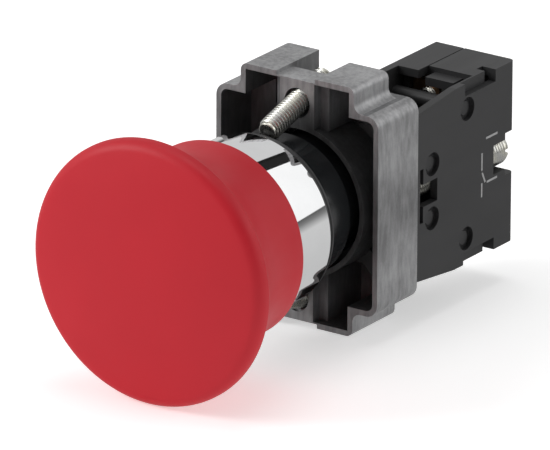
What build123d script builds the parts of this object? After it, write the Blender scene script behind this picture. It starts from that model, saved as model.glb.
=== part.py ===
from build123d import *
import os
from math import asin, cos, degrees, radians, sin

os.makedirs("parts", exist_ok=True)

# A 22 mm panel push button with a 40 mm mushroom head, a clamping collar and one contact block.
# The axis is Y. The head is at -Y, the contact block at +Y, and the panel's front face is at y = 0,
# where the gasket ends. Depths are y values and grow from the head to the block. All sizes are in mm.

# ---- clearances
running_gap = 0.05  # radial, between a shaft, a plunger or a ring and its guide
seat_gap = 0.10  # between pieces that are pushed or screwed together
free_gap = 0.30  # between pieces that pass each other without touching
stop_gap = 0.02  # left at a stop, so that the faces meet without cutting in
beyond = 1.0  # how far a cut runs past the solid that it cuts

# ---- motion
head_travel = 5.6
contact_gap = 3.1
screw_travel = 1.0  # a terminal screw's way down onto its strip
lock_turn = 15.0  # degrees that the bayonet ring turns between locked and free

# ---- mushroom cap
head_radius = 20.0
skirt_radius = 14.95
skirt_rear = -10.7
flare_front = -12.9  # where the skirt starts to flare
rim_rear = -26.9
rim_front = -29.0
dome_height = 2.7
cap_wall = 1.3
rim_front_round = 2.0
rim_rear_round = 0.5
skirt_edge_round = 0.4
cap_ceiling = -26.2
boss_radius = 8.6
stud_radius = 3.95
stud_length = 4.3

# ---- stem, its spring and its stops
flange_radius = 8.4
flange_thickness = 1.2
boss_rear = -21.2
shoulder_radius = 5.4
shaft_radius = 4.0
circlip_groove_depth = 0.8
circlip_thickness = 0.8
circlip_radius = 6.0
circlip_mouth_width = 5.0
washer_thickness = 0.8
washer_radius = 9.4
seal_thickness = 1.6
seal_radius = 5.95
return_spring_radius = 7.0
return_spring_wire = 1.0
return_spring_turns = 5
pusher_thickness = 1.8
pusher_screw_radius = 1.5
pusher_screw_length = 6.0
pusher_screw_head = 2.8

# ---- bezel, neck and spigot
bezel_radius = 13.27
bezel_front = -19.5
bezel_bore = 11.2
bezel_floor = -6.0
bezel_edge_round = 0.6
gasket_thickness = 1.5
gasket_radius = 12.9
neck_radius = 10.95
neck_rear = 7.1
neck_chamfer = 0.35
spigot_radius = 9.2
spigot_rear = 18.6
spigot_wall = 1.6
spigot_bore = spigot_radius - spigot_wall
guide_rear = 4.0
key_width = 2.9
key_height = 0.95
key_length = 0.9
lug_entry_play = 2.0  # degrees to each side of a lug in its entry slot

# ---- mounting collar
collar_front = 9.1
side_depth = 10.4
tall_tower_depth = 11.1
short_tower_depth = 9.0
collar_half_width = 14.25
side_half_height = 15.45
tower_half_width = 9.93
tower_half_height = 19.24
tower_root = 14.3  # height from which a tall tower stands back past the side walls
channel_tall_side = 3.7  # from the axis to the tall tower's channel face
channel_short_side = 3.1
channel_floor = 12.3
collar_wall = 0.85
side_corner_round = 2.0
tower_corner_round = 1.1
step_round = 1.4
web_thickness = 2.6
ring_room = 2.6  # between the spigot and the outside of the ring round it
ring_radius = spigot_radius + ring_room
ring_wall = 0.75
pillar_half_width = 3.0
pillar_height = 18.6
pillar_depth = 4.4
pillar_step_width = 1.55  # of the step beside a pillar, which closes the channel
pillar_step_depth = 1.6

# ---- lock ring
lock_ring_width = 1.35
lock_ring_thickness = 1.2
lock_groove_depth = 0.7
lock_web_gap = 1.1  # leaves room for the end of a screw through the web
lug_angle = 12.0
lug_count = 3
lock_tab_radius = 15.3
lock_tab_width = 2.6
lock_tab_angle = -45.0
lock_slot_play = 2.0  # degrees to each side of the tab's travel

# ---- inclined clamp screws
clamp_screw_radius = 1.75
clamp_screw_height = 15.0  # height of the screw's axis at the collar's front plane
clamp_screw_tilt = 16.0
clamp_screw_reach = 8.0  # along its axis, ahead of the collar's front plane
clamp_screw_tail = 7.4
clamp_point_radius = 1.4
clamp_point_length = 0.5
clamp_recess_radius = 2.2  # of the recess round the screw in the pillar's front
clamp_recess_depth = 1.4
clamp_slot_width = 0.7
clamp_slot_depth = 1.1

# ---- contact block shells
block_gap = 0.1  # behind the collar's side walls
block_length = 25.6
block_left = 0.2
block_right = 14.15
block_half_height = 14.1
block_front_half_height = 13.0
slope_length = 9.9
plunger_side = 3.6
plunger_room = 0.6  # between the plunger and the wall of the spigot
split_x = spigot_bore - plunger_side / 2 - plunger_room
split_gap = 0.2
shell_wall = 1.3
side_wall = 1.25
left_roof_front = 13.6  # from the block's front to the roof's front edge
right_roof_front = 16.1
wire_floor = 10.4  # height from which the front of the block is open for the wires
ledge_drop = 0.8
ledge_inset = 1.0
ledge_width = 4.9
chamber_wall_height = 7.0  # from the axis to the wall between the contacts and the wires
chamber_wall = 0.9
chamber_wall_length = 14.0
recess_front = 12.3
recess_rear = 20.4
recess_slot_length = 1.5
recess_height = 12.2
recess_depth = 0.95
recess_slot_depth = 2.4
edge_round = 0.9

# ---- pins through the cover
pin_radius = 1.1
pin_short = 0.55  # how far a pin's end lies below the cover's face
pin_recess_radius = 1.8
pin_recess_depth = 0.8
front_pin_depth = 3.9
front_pin_height = 4.2
rear_pin_depth = 13.0
rear_pin_height = 10.1

# ---- window and slots by the collar
window_front = 1.5
window_rear = 5.2
window_half_height = 1.75
side_slot_front = 0.65
side_slot_half_height = 4.2
side_slot_depth = 1.0

# ---- fixing screw
fixing_x = 11.25
fixing_radius = 1.45
fixing_head_radius = 2.5
fixing_head_front = 18.9
fixing_head_rear = 25.1
fixing_slot_width = 0.8
fixing_slot_depth = 1.2
tunnel_wall = 0.6
tunnel_front = 6.6
notch_front = 20.1
notch_half_height = 2.3
notch_mouth_front = 23.2
notch_mouth_half_height = 3.3

# ---- block mechanism
plunger_gap = 0.3
plunger_flange = 5.0
plunger_flange_thickness = 1.15
carrier_width = 4.6
carrier_height = 3.6
carrier_front_block = 2.5
carrier_rear_block = 1.6
carrier_tail_radius = 1.2
carrier_tail_length = 2.8
bridge_width = 2.6
bridge_thickness = 0.8
bridge_half_length = 6.6
contact_spring_length = 6.2
contact_spring_radius = 0.95
contact_spring_wire = 0.3
contact_spring_turns = 6
plunger_spring_radius = 1.9
plunger_spring_wire = 0.4
plunger_spring_turns = 7
tip_radius = 1.1
tip_thickness = 0.5
tip_height = 5.4

# ---- terminals
strip_thickness = 0.8
strip_inner_height = 4.3
strip_outer_height = 11.8
strip_width = 5.4
terminal_height = 9.4
terminal_screw_radius = 1.45
terminal_head_radius = 2.5
terminal_head_height = 2.0
terminal_slot_width = 0.7
terminal_slot_depth = 1.0
clamp_washer_side = 4.8
clamp_washer_thickness = 0.7
wire_gap = 1.2
rib_width = 1.0
rib_thickness = 0.9
access_radius = 2.9


# ---- planes and outlines that several pieces share


def across(depth, turn=1):
    """Plane square to the axis. Its normal is -Y; turn = -1 gives the half-turned copy."""
    return Plane(origin=(0, depth, 0), x_dir=(turn, 0, 0), z_dir=(0, -1, 0))


def mechanism(depth):
    """Plane square to the axis, centred on the plunger's own axis."""
    return Plane(origin=(split_x, depth, 0), x_dir=(1, 0, 0), z_dir=(0, -1, 0))


def clamp_line(turn):
    """Plane square to a clamp screw, where its axis meets the collar's front plane."""
    tilt = radians(clamp_screw_tilt)
    return Plane(
        origin=(0, collar_front, turn * clamp_screw_height),
        x_dir=(turn, 0, 0),
        z_dir=(0, cos(tilt), turn * sin(tilt)),
    )


def box_between(corner, opposite, mode=Mode.ADD):
    """Box between two opposite corners, in the part's own coordinates."""
    size = tuple(abs(b - a) for a, b in zip(corner, opposite))
    centre = tuple((a + b) / 2 for a, b in zip(corner, opposite))
    with Locations(centre):
        Box(*size, mode=mode)


# ==== head group ====

dome_apex = rim_front - dome_height
stud_front = boss_rear - stud_length

with BuildPart() as mushroom_cap:
    with BuildSketch(Plane.XY) as cap_section:
        with BuildLine():
            TangentArc((0, dome_apex), (head_radius, rim_front), tangent=(1, 0))
            Line((head_radius, rim_front), (head_radius, rim_rear))
            TangentArc((skirt_radius, flare_front), (head_radius, rim_rear), tangent=(0, -1))
            Polyline(
                (skirt_radius, flare_front),
                (skirt_radius, skirt_rear),
                (skirt_radius - cap_wall, skirt_rear),
                (skirt_radius - cap_wall, cap_ceiling),
                (boss_radius, cap_ceiling),
                (boss_radius, boss_rear),
                (stud_radius + running_gap, boss_rear),
                (stud_radius + running_gap, stud_front - seat_gap),
                (0, stud_front - seat_gap),
                (0, dome_apex),
            )
        make_face()
        rim = cap_section.vertices().group_by(Axis.X)[-1].sort_by(Axis.Y)
        fillet(rim[0], rim_front_round)
        rim = cap_section.vertices().group_by(Axis.X)[-1].sort_by(Axis.Y)
        fillet(rim[-1], rim_rear_round)
        skirt_edge = cap_section.vertices().group_by(Axis.Y)[-1].sort_by(Axis.X)
        fillet(skirt_edge[-1], skirt_edge_round)
    revolve(axis=Axis.Y)
mushroom_cap.part.label = "mushroom_cap"
export_step(mushroom_cap.part, "parts/mushroom_cap.step")

flange_rear = boss_rear + flange_thickness
washer_front = bezel_floor - washer_thickness
shoulder_rear = washer_front - head_travel - stop_gap
groove_front = guide_rear
groove_rear = groove_front + circlip_thickness + seat_gap
pusher_rear = collar_front + side_depth + block_gap - head_travel - free_gap - stop_gap
pusher_front = pusher_rear - pusher_thickness
pusher_screw_front = pusher_rear - pusher_screw_length

with BuildPart() as stem:
    with BuildSketch(Plane.XY):
        with BuildLine():
            Polyline(
                (0, stud_front),
                (stud_radius, stud_front),
                (stud_radius, boss_rear),
                (flange_radius, boss_rear),
                (flange_radius, flange_rear),
                (shoulder_radius, flange_rear),
                (shoulder_radius, shoulder_rear),
                (shaft_radius, shoulder_rear),
                (shaft_radius, groove_front),
                (shaft_radius - circlip_groove_depth, groove_front),
                (shaft_radius - circlip_groove_depth, groove_rear),
                (shaft_radius, groove_rear),
                (shaft_radius, pusher_front),
                (pusher_screw_radius + running_gap, pusher_front),
                (pusher_screw_radius + running_gap, pusher_screw_front - seat_gap),
                (0, pusher_screw_front - seat_gap),
                close=True,
            )
        make_face()
    revolve(axis=Axis.Y)
stem.part.label = "stem"
export_step(stem.part, "parts/stem.step")

circlip_bore = shaft_radius - circlip_groove_depth + running_gap
with BuildPart() as stem_circlip:
    with BuildSketch(across(groove_front + circlip_thickness + stop_gap)):
        Circle(circlip_radius)
        Circle(circlip_bore, mode=Mode.SUBTRACT)
        with Locations((0, -circlip_radius)):
            Rectangle(circlip_mouth_width, circlip_radius, mode=Mode.SUBTRACT)
    extrude(amount=circlip_thickness)
stem_circlip.part.label = "stem_circlip"
export_step(stem_circlip.part, "parts/stem_circlip.step")

pusher_sink = pusher_screw_head - pusher_screw_radius
pusher_radius = spigot_bore - free_gap
with BuildPart() as pusher_plate:
    with BuildSketch(Plane.XY):
        with BuildLine():
            Polyline(
                (pusher_screw_radius + running_gap, pusher_front),
                (pusher_radius, pusher_front),
                (pusher_radius, pusher_rear),
                (pusher_screw_head + running_gap, pusher_rear),
                (pusher_screw_radius + running_gap, pusher_rear - pusher_sink),
                close=True,
            )
        make_face()
    revolve(axis=Axis.Y)
pusher_plate.part.label = "pusher_plate"
export_step(pusher_plate.part, "parts/pusher_plate.step")

with BuildPart() as pusher_screw:
    with BuildSketch(Plane.XY):
        with BuildLine():
            Polyline(
                (0, pusher_screw_front),
                (pusher_screw_radius, pusher_screw_front),
                (pusher_screw_radius, pusher_rear - pusher_sink),
                (pusher_screw_head, pusher_rear),
                (0, pusher_rear),
                close=True,
            )
        make_face()
    revolve(axis=Axis.Y)
    slot_half = terminal_slot_width / 2
    box_between(
        (-pusher_screw_head, pusher_rear - pusher_sink / 2, -slot_half),
        (pusher_screw_head, pusher_rear + seat_gap, slot_half),
        mode=Mode.SUBTRACT,
    )
pusher_screw.part.label = "pusher_screw"
export_step(pusher_screw.part, "parts/pusher_screw.step")

# ==== bezel group ====

lock_front = collar_front + side_depth - web_thickness - lock_web_gap - lock_ring_thickness
lock_groove_front = lock_front - seat_gap
lock_groove_rear = lock_front + lock_ring_thickness + seat_gap
lock_groove_radius = spigot_radius - lock_groove_depth
seal_bore_rear = bezel_floor + seal_thickness + seat_gap

with BuildPart() as bezel_body:
    with BuildSketch(Plane.XY) as bezel_section:
        with BuildLine():
            Polyline(
                (bezel_bore, bezel_front),
                (bezel_radius, bezel_front),
                (bezel_radius, -gasket_thickness),
                (neck_radius, -gasket_thickness),
                (neck_radius, neck_rear),
                (spigot_radius, neck_rear),
                (spigot_radius, lock_groove_front),
                (lock_groove_radius, lock_groove_front),
                (lock_groove_radius, lock_groove_rear),
                (spigot_radius, lock_groove_rear),
                (spigot_radius, spigot_rear),
                (spigot_bore, spigot_rear),
                (spigot_bore, guide_rear),
                (shaft_radius + running_gap, guide_rear),
                (shaft_radius + running_gap, seal_bore_rear),
                (seal_radius + seat_gap, seal_bore_rear),
                (seal_radius + seat_gap, bezel_floor),
                (bezel_bore, bezel_floor),
                close=True,
            )
        make_face()
        bezel_corner = bezel_section.vertices().group_by(Axis.Y)[0].sort_by(Axis.X)
        fillet(bezel_corner[-1], bezel_edge_round)
        neck_corner = bezel_section.vertices().sort_by_distance((neck_radius, neck_rear))[0]
        chamfer(neck_corner, neck_chamfer)
    revolve(axis=Axis.Y)
    with BuildSketch(across(seat_gap + key_length)):
        with Locations((0, neck_radius)):
            Rectangle(key_width, 2 * key_height)
    extrude(amount=key_length)
    for lug in range(lug_count):
        entry_angle = 90 + lug * 360 / lug_count - lock_turn
        with BuildSketch(across(spigot_rear)):
            with Locations(Rotation(0, 0, entry_angle)):
                with Locations((spigot_radius, 0)):
                    Rectangle(
                        2 * lock_groove_depth,
                        2 * spigot_radius * sin(radians(lug_angle / 2 + lug_entry_play)),
                    )
        extrude(amount=spigot_rear - lock_groove_rear, mode=Mode.SUBTRACT)
bezel_body.part.label = "bezel_body"
export_step(bezel_body.part, "parts/bezel_body.step")

with BuildPart() as panel_gasket:
    with BuildSketch(across(0)):
        Circle(gasket_radius)
        Circle(neck_radius + running_gap, mode=Mode.SUBTRACT)
    extrude(amount=gasket_thickness)
panel_gasket.part.label = "panel_gasket"
export_step(panel_gasket.part, "parts/panel_gasket.step")

with BuildPart() as stem_seal:
    with BuildSketch(across(bezel_floor + seal_thickness)):
        Circle(seal_radius)
        Circle(shaft_radius + running_gap, mode=Mode.SUBTRACT)
    extrude(amount=seal_thickness)
stem_seal.part.label = "stem_seal"
export_step(stem_seal.part, "parts/stem_seal.step")

with BuildPart() as spring_washer:
    with BuildSketch(across(bezel_floor)):
        Circle(washer_radius)
        Circle(shaft_radius + seat_gap, mode=Mode.SUBTRACT)
    extrude(amount=washer_thickness)
spring_washer.part.label = "spring_washer"
export_step(spring_washer.part, "parts/spring_washer.step")


def coil(centre_x, front, rear, radius, wire, turns):
    """Wire of a compression spring along Y, between two seats."""
    height = rear - front - wire - 2 * stop_gap
    start = (centre_x, front + wire / 2 + stop_gap, 0)
    with BuildLine() as path:
        Helix(height / turns, height, radius, center=start, direction=(0, 1, 0))
    with BuildSketch(Plane(origin=path.wire() @ 0, z_dir=path.wire() % 0)) as wire_section:
        Circle(wire / 2)
    sweep(sections=wire_section.sketch, path=path.wire(), is_frenet=True)


with BuildPart() as return_spring:
    coil(0, flange_rear, washer_front, return_spring_radius, return_spring_wire, return_spring_turns)
return_spring.part.label = "return_spring"
export_step(return_spring.part, "parts/return_spring.step")

# ==== mounting collar ====

side_rear = collar_front + side_depth
tall_rear = collar_front + tall_tower_depth
short_rear = collar_front + short_tower_depth
web_front = side_rear - web_thickness
pillar_rear = collar_front + pillar_depth
step_front = collar_front + pillar_step_depth
step_half_width = pillar_half_width + pillar_step_width
inner_half_width = collar_half_width - collar_wall
inner_half_height = side_half_height - collar_wall
tower_inner_width = tower_half_width - collar_wall
tower_inner_height = tower_half_height - collar_wall

with BuildPart() as mounting_collar:
    with BuildSketch(across(tall_rear)) as collar_outline:
        Rectangle(2 * collar_half_width, 2 * side_half_height)
        Rectangle(2 * tower_half_width, 2 * tower_half_height)
        for half_width, half_height, corner_round in (
            (tower_half_width, side_half_height, step_round),
            (tower_half_width, tower_half_height, tower_corner_round),
            (collar_half_width, side_half_height, side_corner_round),
        ):
            corners = [
                collar_outline.vertices().sort_by_distance((x, z))[0]
                for x in (half_width, -half_width)
                for z in (half_height, -half_height)
            ]
            fillet(corners, corner_round)
    extrude(amount=tall_tower_depth)

    # everything behind the side walls goes, apart from the two tall towers
    box_between(
        (-collar_half_width - beyond, side_rear, -tower_root),
        (collar_half_width + beyond, tall_rear + beyond, tower_root),
        mode=Mode.SUBTRACT,
    )
    for turn in (1, -1):
        with BuildSketch(across(tall_rear + beyond, turn)):
            for side in (1, -1):
                with Locations((side * (tower_half_width + collar_half_width) / 2, side_half_height)):
                    Rectangle(collar_half_width - tower_half_width, 2 * (side_half_height - tower_root))
        extrude(amount=tall_rear + beyond - side_rear, mode=Mode.SUBTRACT)
        with BuildSketch(across(tall_rear + beyond, turn)):
            with Locations((collar_half_width / 2, tower_half_height)):
                Rectangle(collar_half_width, 2 * (tower_half_height - side_half_height))
        extrude(amount=tall_rear + beyond - short_rear, mode=Mode.SUBTRACT)
        with BuildSketch(across(tall_rear + beyond, turn)):
            with Locations((collar_half_width / 2, side_half_height)):
                Rectangle(collar_half_width, 2 * (side_half_height - tower_root))
        extrude(amount=tall_rear + beyond - side_rear, mode=Mode.SUBTRACT)

    # hollow inside, open at the front
    with BuildSketch(across(web_front)) as hollow:
        Rectangle(2 * inner_half_width, 2 * inner_half_height)
        inner_corners = hollow.vertices()
        fillet(inner_corners, side_corner_round - collar_wall)
    extrude(amount=web_front - collar_front, mode=Mode.SUBTRACT)
    for turn in (1, -1):
        for side, rear in ((-1, tall_rear), (1, short_rear)):
            for inner, depth in (
                (pillar_half_width, step_front),
                (step_half_width, rear - collar_wall),
            ):
                with BuildSketch(across(depth, turn)):
                    with Locations((side * (inner + tower_inner_width) / 2, inner_half_height)):
                        Rectangle(
                            tower_inner_width - inner,
                            2 * (tower_inner_height - inner_half_height),
                        )
                extrude(amount=depth - collar_front, mode=Mode.SUBTRACT)

    # pillars in front, channel walls behind their steps, and the ring round the bore
    for turn in (1, -1):
        for half_width, front, rear in (
            (pillar_half_width, collar_front, step_front),
            (step_half_width, step_front, web_front),
        ):
            with BuildSketch(across(rear, turn)):
                with Locations((0, (ring_radius + tower_inner_height) / 2)):
                    Rectangle(2 * half_width, tower_inner_height - ring_radius + 2 * ring_wall)
            extrude(amount=rear - front)
    with BuildSketch(across(web_front)):
        Circle(ring_radius)
    extrude(amount=web_front - collar_front)

    channel_middle = (channel_short_side - channel_tall_side) / 2
    for turn in (1, -1):
        with BuildSketch(across(tall_rear + beyond, turn)):
            with Locations((channel_middle, (channel_floor + tower_half_height + beyond) / 2)):
                Rectangle(
                    channel_short_side + channel_tall_side,
                    tower_half_height + beyond - channel_floor,
                )
        extrude(amount=tall_rear + beyond - pillar_rear, mode=Mode.SUBTRACT)
        with BuildSketch(across(pillar_rear + beyond, turn)):
            with Locations((channel_middle, (pillar_height + tower_half_height + beyond) / 2)):
                Rectangle(
                    channel_short_side + channel_tall_side,
                    tower_half_height + beyond - pillar_height,
                )
        extrude(amount=pillar_depth + 2 * beyond, mode=Mode.SUBTRACT)

    # the bore, the spigot's seat in the web and the tab's slot in the ring
    with BuildSketch(across(web_front)):
        Circle(ring_radius - ring_wall)
    extrude(amount=web_front - collar_front + beyond, mode=Mode.SUBTRACT)
    with BuildSketch(across(side_rear + beyond)):
        Circle(spigot_radius + seat_gap)
    extrude(amount=web_thickness + 2 * beyond, mode=Mode.SUBTRACT)
    tab_half_angle = degrees(asin(lock_tab_width / 2 / ring_radius))
    slot_angle = lock_turn + 2 * (tab_half_angle + lock_slot_play)
    slot_middle = lock_tab_angle - lock_turn / 2
    with BuildSketch(across(lock_groove_rear)):
        with BuildLine():
            slot_start = slot_middle - slot_angle / 2
            inner_arc = CenterArc((0, 0), ring_radius - 2 * ring_wall, slot_start, slot_angle)
            outer_arc = CenterArc((0, 0), ring_radius + ring_wall / 2, slot_start, slot_angle)
            Line(inner_arc @ 0, outer_arc @ 0)
            Line(inner_arc @ 1, outer_arc @ 1)
        make_face()
    extrude(amount=lock_groove_rear - lock_groove_front, mode=Mode.SUBTRACT)

    # threaded holes: two inclined ones for the clamp screws, two in the web for contact blocks
    for turn in (1, -1):
        with BuildSketch(clamp_line(turn).offset(-clamp_screw_reach)):
            Circle(clamp_screw_radius + running_gap)
        extrude(amount=clamp_screw_reach + clamp_screw_tail + beyond, mode=Mode.SUBTRACT)
        with BuildSketch(clamp_line(turn).offset(clamp_recess_depth)):
            Circle(clamp_recess_radius)
        extrude(amount=-clamp_recess_depth - 2 * beyond, mode=Mode.SUBTRACT)
        with BuildSketch(across(side_rear + beyond, turn)):
            with Locations((fixing_x, 0)):
                Circle(fixing_radius + running_gap)
        extrude(amount=web_thickness + 2 * beyond, mode=Mode.SUBTRACT)
mounting_collar.part.label = "mounting_collar"
export_step(mounting_collar.part, "parts/mounting_collar.step")

lock_ring_outer = ring_radius - ring_wall - running_gap
lock_ring_inner = lock_ring_outer - lock_ring_width
with BuildPart() as lock_ring:
    with BuildSketch(across(lock_front + lock_ring_thickness)):
        Circle(lock_ring_outer)
        with Locations(Rotation(0, 0, lock_tab_angle)):
            with Locations((lock_tab_radius / 2, 0)):
                Rectangle(lock_tab_radius, lock_tab_width)
        Circle(lock_ring_inner, mode=Mode.SUBTRACT)
        for lug in range(lug_count):
            with Locations(Rotation(0, 0, 90 + lug * 360 / lug_count)):
                with Locations((lock_ring_inner - lock_groove_depth / 2, 0)):
                    Rectangle(
                        2 * lock_groove_depth,
                        2 * spigot_radius * sin(radians(lug_angle / 2)),
                    )
        Circle(lock_groove_radius + seat_gap, mode=Mode.SUBTRACT)
    extrude(amount=lock_ring_thickness)
lock_ring.part.label = "lock_ring"
export_step(lock_ring.part, "parts/lock_ring.step")

for name, turn in (("clamp_screw_upper", 1), ("clamp_screw_lower", -1)):
    screw_line = clamp_line(turn)
    with BuildPart() as clamp_screw:
        with BuildSketch(screw_line.offset(-clamp_screw_reach)):
            Circle(clamp_point_radius)
        extrude(amount=clamp_point_length)
        with BuildSketch(screw_line.offset(-clamp_screw_reach + clamp_point_length)):
            Circle(clamp_screw_radius)
        extrude(amount=clamp_screw_reach - clamp_point_length + clamp_screw_tail)
        with BuildSketch(screw_line.offset(clamp_screw_tail)):
            Rectangle(clamp_slot_width, 2 * (clamp_screw_radius + beyond))
        extrude(amount=-clamp_slot_depth, mode=Mode.SUBTRACT)
    clamp_screw.part.label = name
    export_step(clamp_screw.part, f"parts/{name}.step")

# ==== contact block ====

block_front = side_rear + block_gap
block_rear = block_front + block_length
inner_front = block_front + shell_wall
inner_rear = block_rear - shell_wall
left_inside = block_left + shell_wall
right_inside = block_right - side_wall
split_left = split_x - split_gap / 2
split_right = split_x + split_gap / 2
roof_inside = block_half_height - shell_wall
chamber_rear = inner_front + chamber_wall_length


def block_outline(inset=0.0):
    """Side outline of the block, low at the front and at full height behind the slope."""
    front = block_front + inset
    rear = block_rear - inset
    shoulder = block_front + slope_length
    full_height = block_half_height - inset
    slope = (block_half_height - block_front_half_height) / slope_length
    front_height = full_height - slope * (shoulder - front)
    return [
        (front, front_height),
        (shoulder, full_height),
        (rear, full_height),
        (rear, -full_height),
        (shoulder, -full_height),
        (front, -front_height),
    ]


def cut_plunger_and_access():
    """The plunger's guide in the front wall and the two screwdriver holes in the rear wall."""
    with BuildSketch(mechanism(inner_front + beyond)) as guide:
        Rectangle(plunger_side + 2 * running_gap, plunger_side + 2 * running_gap)
    extrude(guide.sketch, amount=shell_wall + 2 * beyond, mode=Mode.SUBTRACT)
    with BuildSketch(mechanism(block_rear + beyond)) as access:
        with Locations((0, terminal_height), (0, -terminal_height)):
            Circle(access_radius)
    extrude(access.sketch, amount=shell_wall + 2 * beyond, mode=Mode.SUBTRACT)


pin_places = [
    (block_front + depth, side * height)
    for depth, height in ((front_pin_depth, front_pin_height), (rear_pin_depth, rear_pin_height))
    for side in (1, -1)
]

# depths of the mechanism, worked out from the stops
flange_front = inner_front + stop_gap
flange_back = flange_front + plunger_flange_thickness
window_front_face = flange_back + carrier_front_block
bridge_front = window_front_face + contact_spring_length
bridge_rear = bridge_front + bridge_thickness
window_rear_face = bridge_rear + stop_gap
carrier_rear = window_rear_face + carrier_rear_block
bridge_tip_rear = bridge_rear + tip_thickness
fixed_tip_front = bridge_tip_rear + contact_gap + stop_gap
strip_front = fixed_tip_front + tip_thickness
strip_rear = strip_front + strip_thickness
clamp_washer_front = strip_rear + wire_gap
terminal_head_front = clamp_washer_front + clamp_washer_thickness
terminal_head_rear = terminal_head_front + terminal_head_height
strip_left = left_inside + seat_gap
strip_right = strip_left + strip_width

with BuildPart() as block_housing:
    with BuildSketch(Plane.YZ.offset(block_left)):
        with BuildLine():
            Polyline(*block_outline(), close=True)
        make_face()
    extrude(amount=split_left - block_left)
    with BuildSketch(Plane.YZ.offset(left_inside)):
        with BuildLine():
            Polyline(*block_outline(shell_wall), close=True)
        make_face()
    extrude(amount=split_left - left_inside + beyond, mode=Mode.SUBTRACT)
    for side in (1, -1):
        # the opening for the wires, ahead of the roof
        box_between(
            (left_inside, inner_front, side * wire_floor),
            (split_left + beyond, block_front + left_roof_front, side * (block_half_height + beyond)),
            mode=Mode.SUBTRACT,
        )
        # the wall between the contacts and the wires
        box_between(
            (left_inside - seat_gap, inner_front - seat_gap, side * chamber_wall_height),
            (split_left, chamber_rear, side * (chamber_wall_height + chamber_wall)),
        )
        # ribs that hold the fixed strip from both sides
        for rib_front in (strip_front - seat_gap - rib_thickness, strip_rear + seat_gap):
            box_between(
                (left_inside - seat_gap, rib_front, side * strip_inner_height),
                (left_inside + rib_width, rib_front + rib_thickness, side * (roof_inside + seat_gap)),
            )
    with BuildSketch(Plane.YZ.offset(left_inside - seat_gap)):
        with Locations(*pin_places):
            Circle(pin_radius)
    extrude(amount=block_right - pin_short - left_inside + seat_gap)
    cut_plunger_and_access()
block_housing.part.label = "block_housing"
export_step(block_housing.part, "parts/block_housing.step")

fixing_bore = fixing_radius + seat_gap
head_bore = fixing_head_radius + seat_gap

with BuildPart() as block_cover:
    with BuildSketch(Plane.YZ.offset(split_right)):
        with BuildLine():
            Polyline(*block_outline(), close=True)
        make_face()
    extrude(amount=block_right - split_right)
    rear_edges = block_cover.edges().filter_by(Axis.Z).group_by(Axis.Y)[-1].sort_by(Axis.X)
    fillet(rear_edges[-1], edge_round)
    with BuildSketch(Plane.YZ.offset(split_right - beyond)):
        with BuildLine():
            Polyline(*block_outline(shell_wall), close=True)
        make_face()
    extrude(amount=right_inside - split_right + beyond, mode=Mode.SUBTRACT)
    for side in (1, -1):
        # the opening for the wires, ahead of the roof, and the low ledge behind it
        box_between(
            (split_right - beyond, inner_front, side * wire_floor),
            (right_inside, block_front + right_roof_front, side * (block_half_height + beyond)),
            mode=Mode.SUBTRACT,
        )
        ledge_left = split_right + ledge_inset
        box_between(
            (ledge_left, block_front + left_roof_front, side * (roof_inside - ledge_drop)),
            (
                ledge_left + ledge_width,
                block_front + right_roof_front + seat_gap,
                side * (block_half_height - ledge_drop),
            ),
        )
        box_between(
            (split_right, inner_front - seat_gap, side * chamber_wall_height),
            (right_inside + seat_gap, chamber_rear, side * (chamber_wall_height + chamber_wall)),
        )
        # the recess along the side's edge, and the deep slot at its rear end
        recess_end = (block_right + beyond, block_front + recess_rear, side * (block_half_height + beyond))
        box_between(
            (block_right - recess_depth, block_front + recess_front, side * recess_height),
            recess_end,
            mode=Mode.SUBTRACT,
        )
        slot_front = block_front + recess_rear - recess_slot_length
        box_between(
            (block_right - recess_slot_depth, slot_front, side * recess_height),
            recess_end,
            mode=Mode.SUBTRACT,
        )
    # tunnel of the fixing screw
    box_between(
        (fixing_x - head_bore - tunnel_wall, block_front + tunnel_front, -head_bore - tunnel_wall),
        (right_inside + seat_gap, inner_rear + seat_gap, head_bore + tunnel_wall),
    )
    with BuildSketch(across(block_rear + beyond)):
        with Locations((fixing_x, 0)):
            Circle(fixing_bore)
    extrude(amount=block_length + 2 * beyond, mode=Mode.SUBTRACT)
    with BuildSketch(across(block_rear + beyond)):
        with Locations((fixing_x, 0)):
            Circle(head_bore)
    extrude(amount=block_rear + beyond - block_front - fixing_head_front + seat_gap, mode=Mode.SUBTRACT)
    # the notch that leaves the screw's head in view
    box_between(
        (fixing_x, block_front + notch_front, -notch_half_height),
        (block_right + beyond, block_rear + beyond, notch_half_height),
        mode=Mode.SUBTRACT,
    )
    box_between(
        (fixing_x - head_bore, block_front + notch_mouth_front, -notch_mouth_half_height),
        (block_right + beyond, block_rear + beyond, notch_mouth_half_height),
        mode=Mode.SUBTRACT,
    )
    # the window beside the collar and the thin slots above and below it
    box_between(
        (right_inside - beyond, block_front + window_front, -window_half_height),
        (block_right + beyond, block_front + window_rear, window_half_height),
        mode=Mode.SUBTRACT,
    )
    box_between(
        (block_right - side_slot_depth, block_front + side_slot_front, -side_slot_half_height),
        (block_right + beyond, block_front + window_front, side_slot_half_height),
        mode=Mode.SUBTRACT,
    )
    with BuildSketch(Plane.YZ.offset(block_right)):
        with Locations(*pin_places):
            Circle(pin_recess_radius)
    extrude(amount=-pin_recess_depth, mode=Mode.SUBTRACT)
    with BuildSketch(Plane.YZ.offset(block_right)):
        with Locations(*pin_places):
            Circle(pin_radius + running_gap)
    extrude(amount=-side_wall - beyond, mode=Mode.SUBTRACT)
    cut_plunger_and_access()
block_cover.part.label = "block_cover"
export_step(block_cover.part, "parts/block_cover.step")

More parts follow.
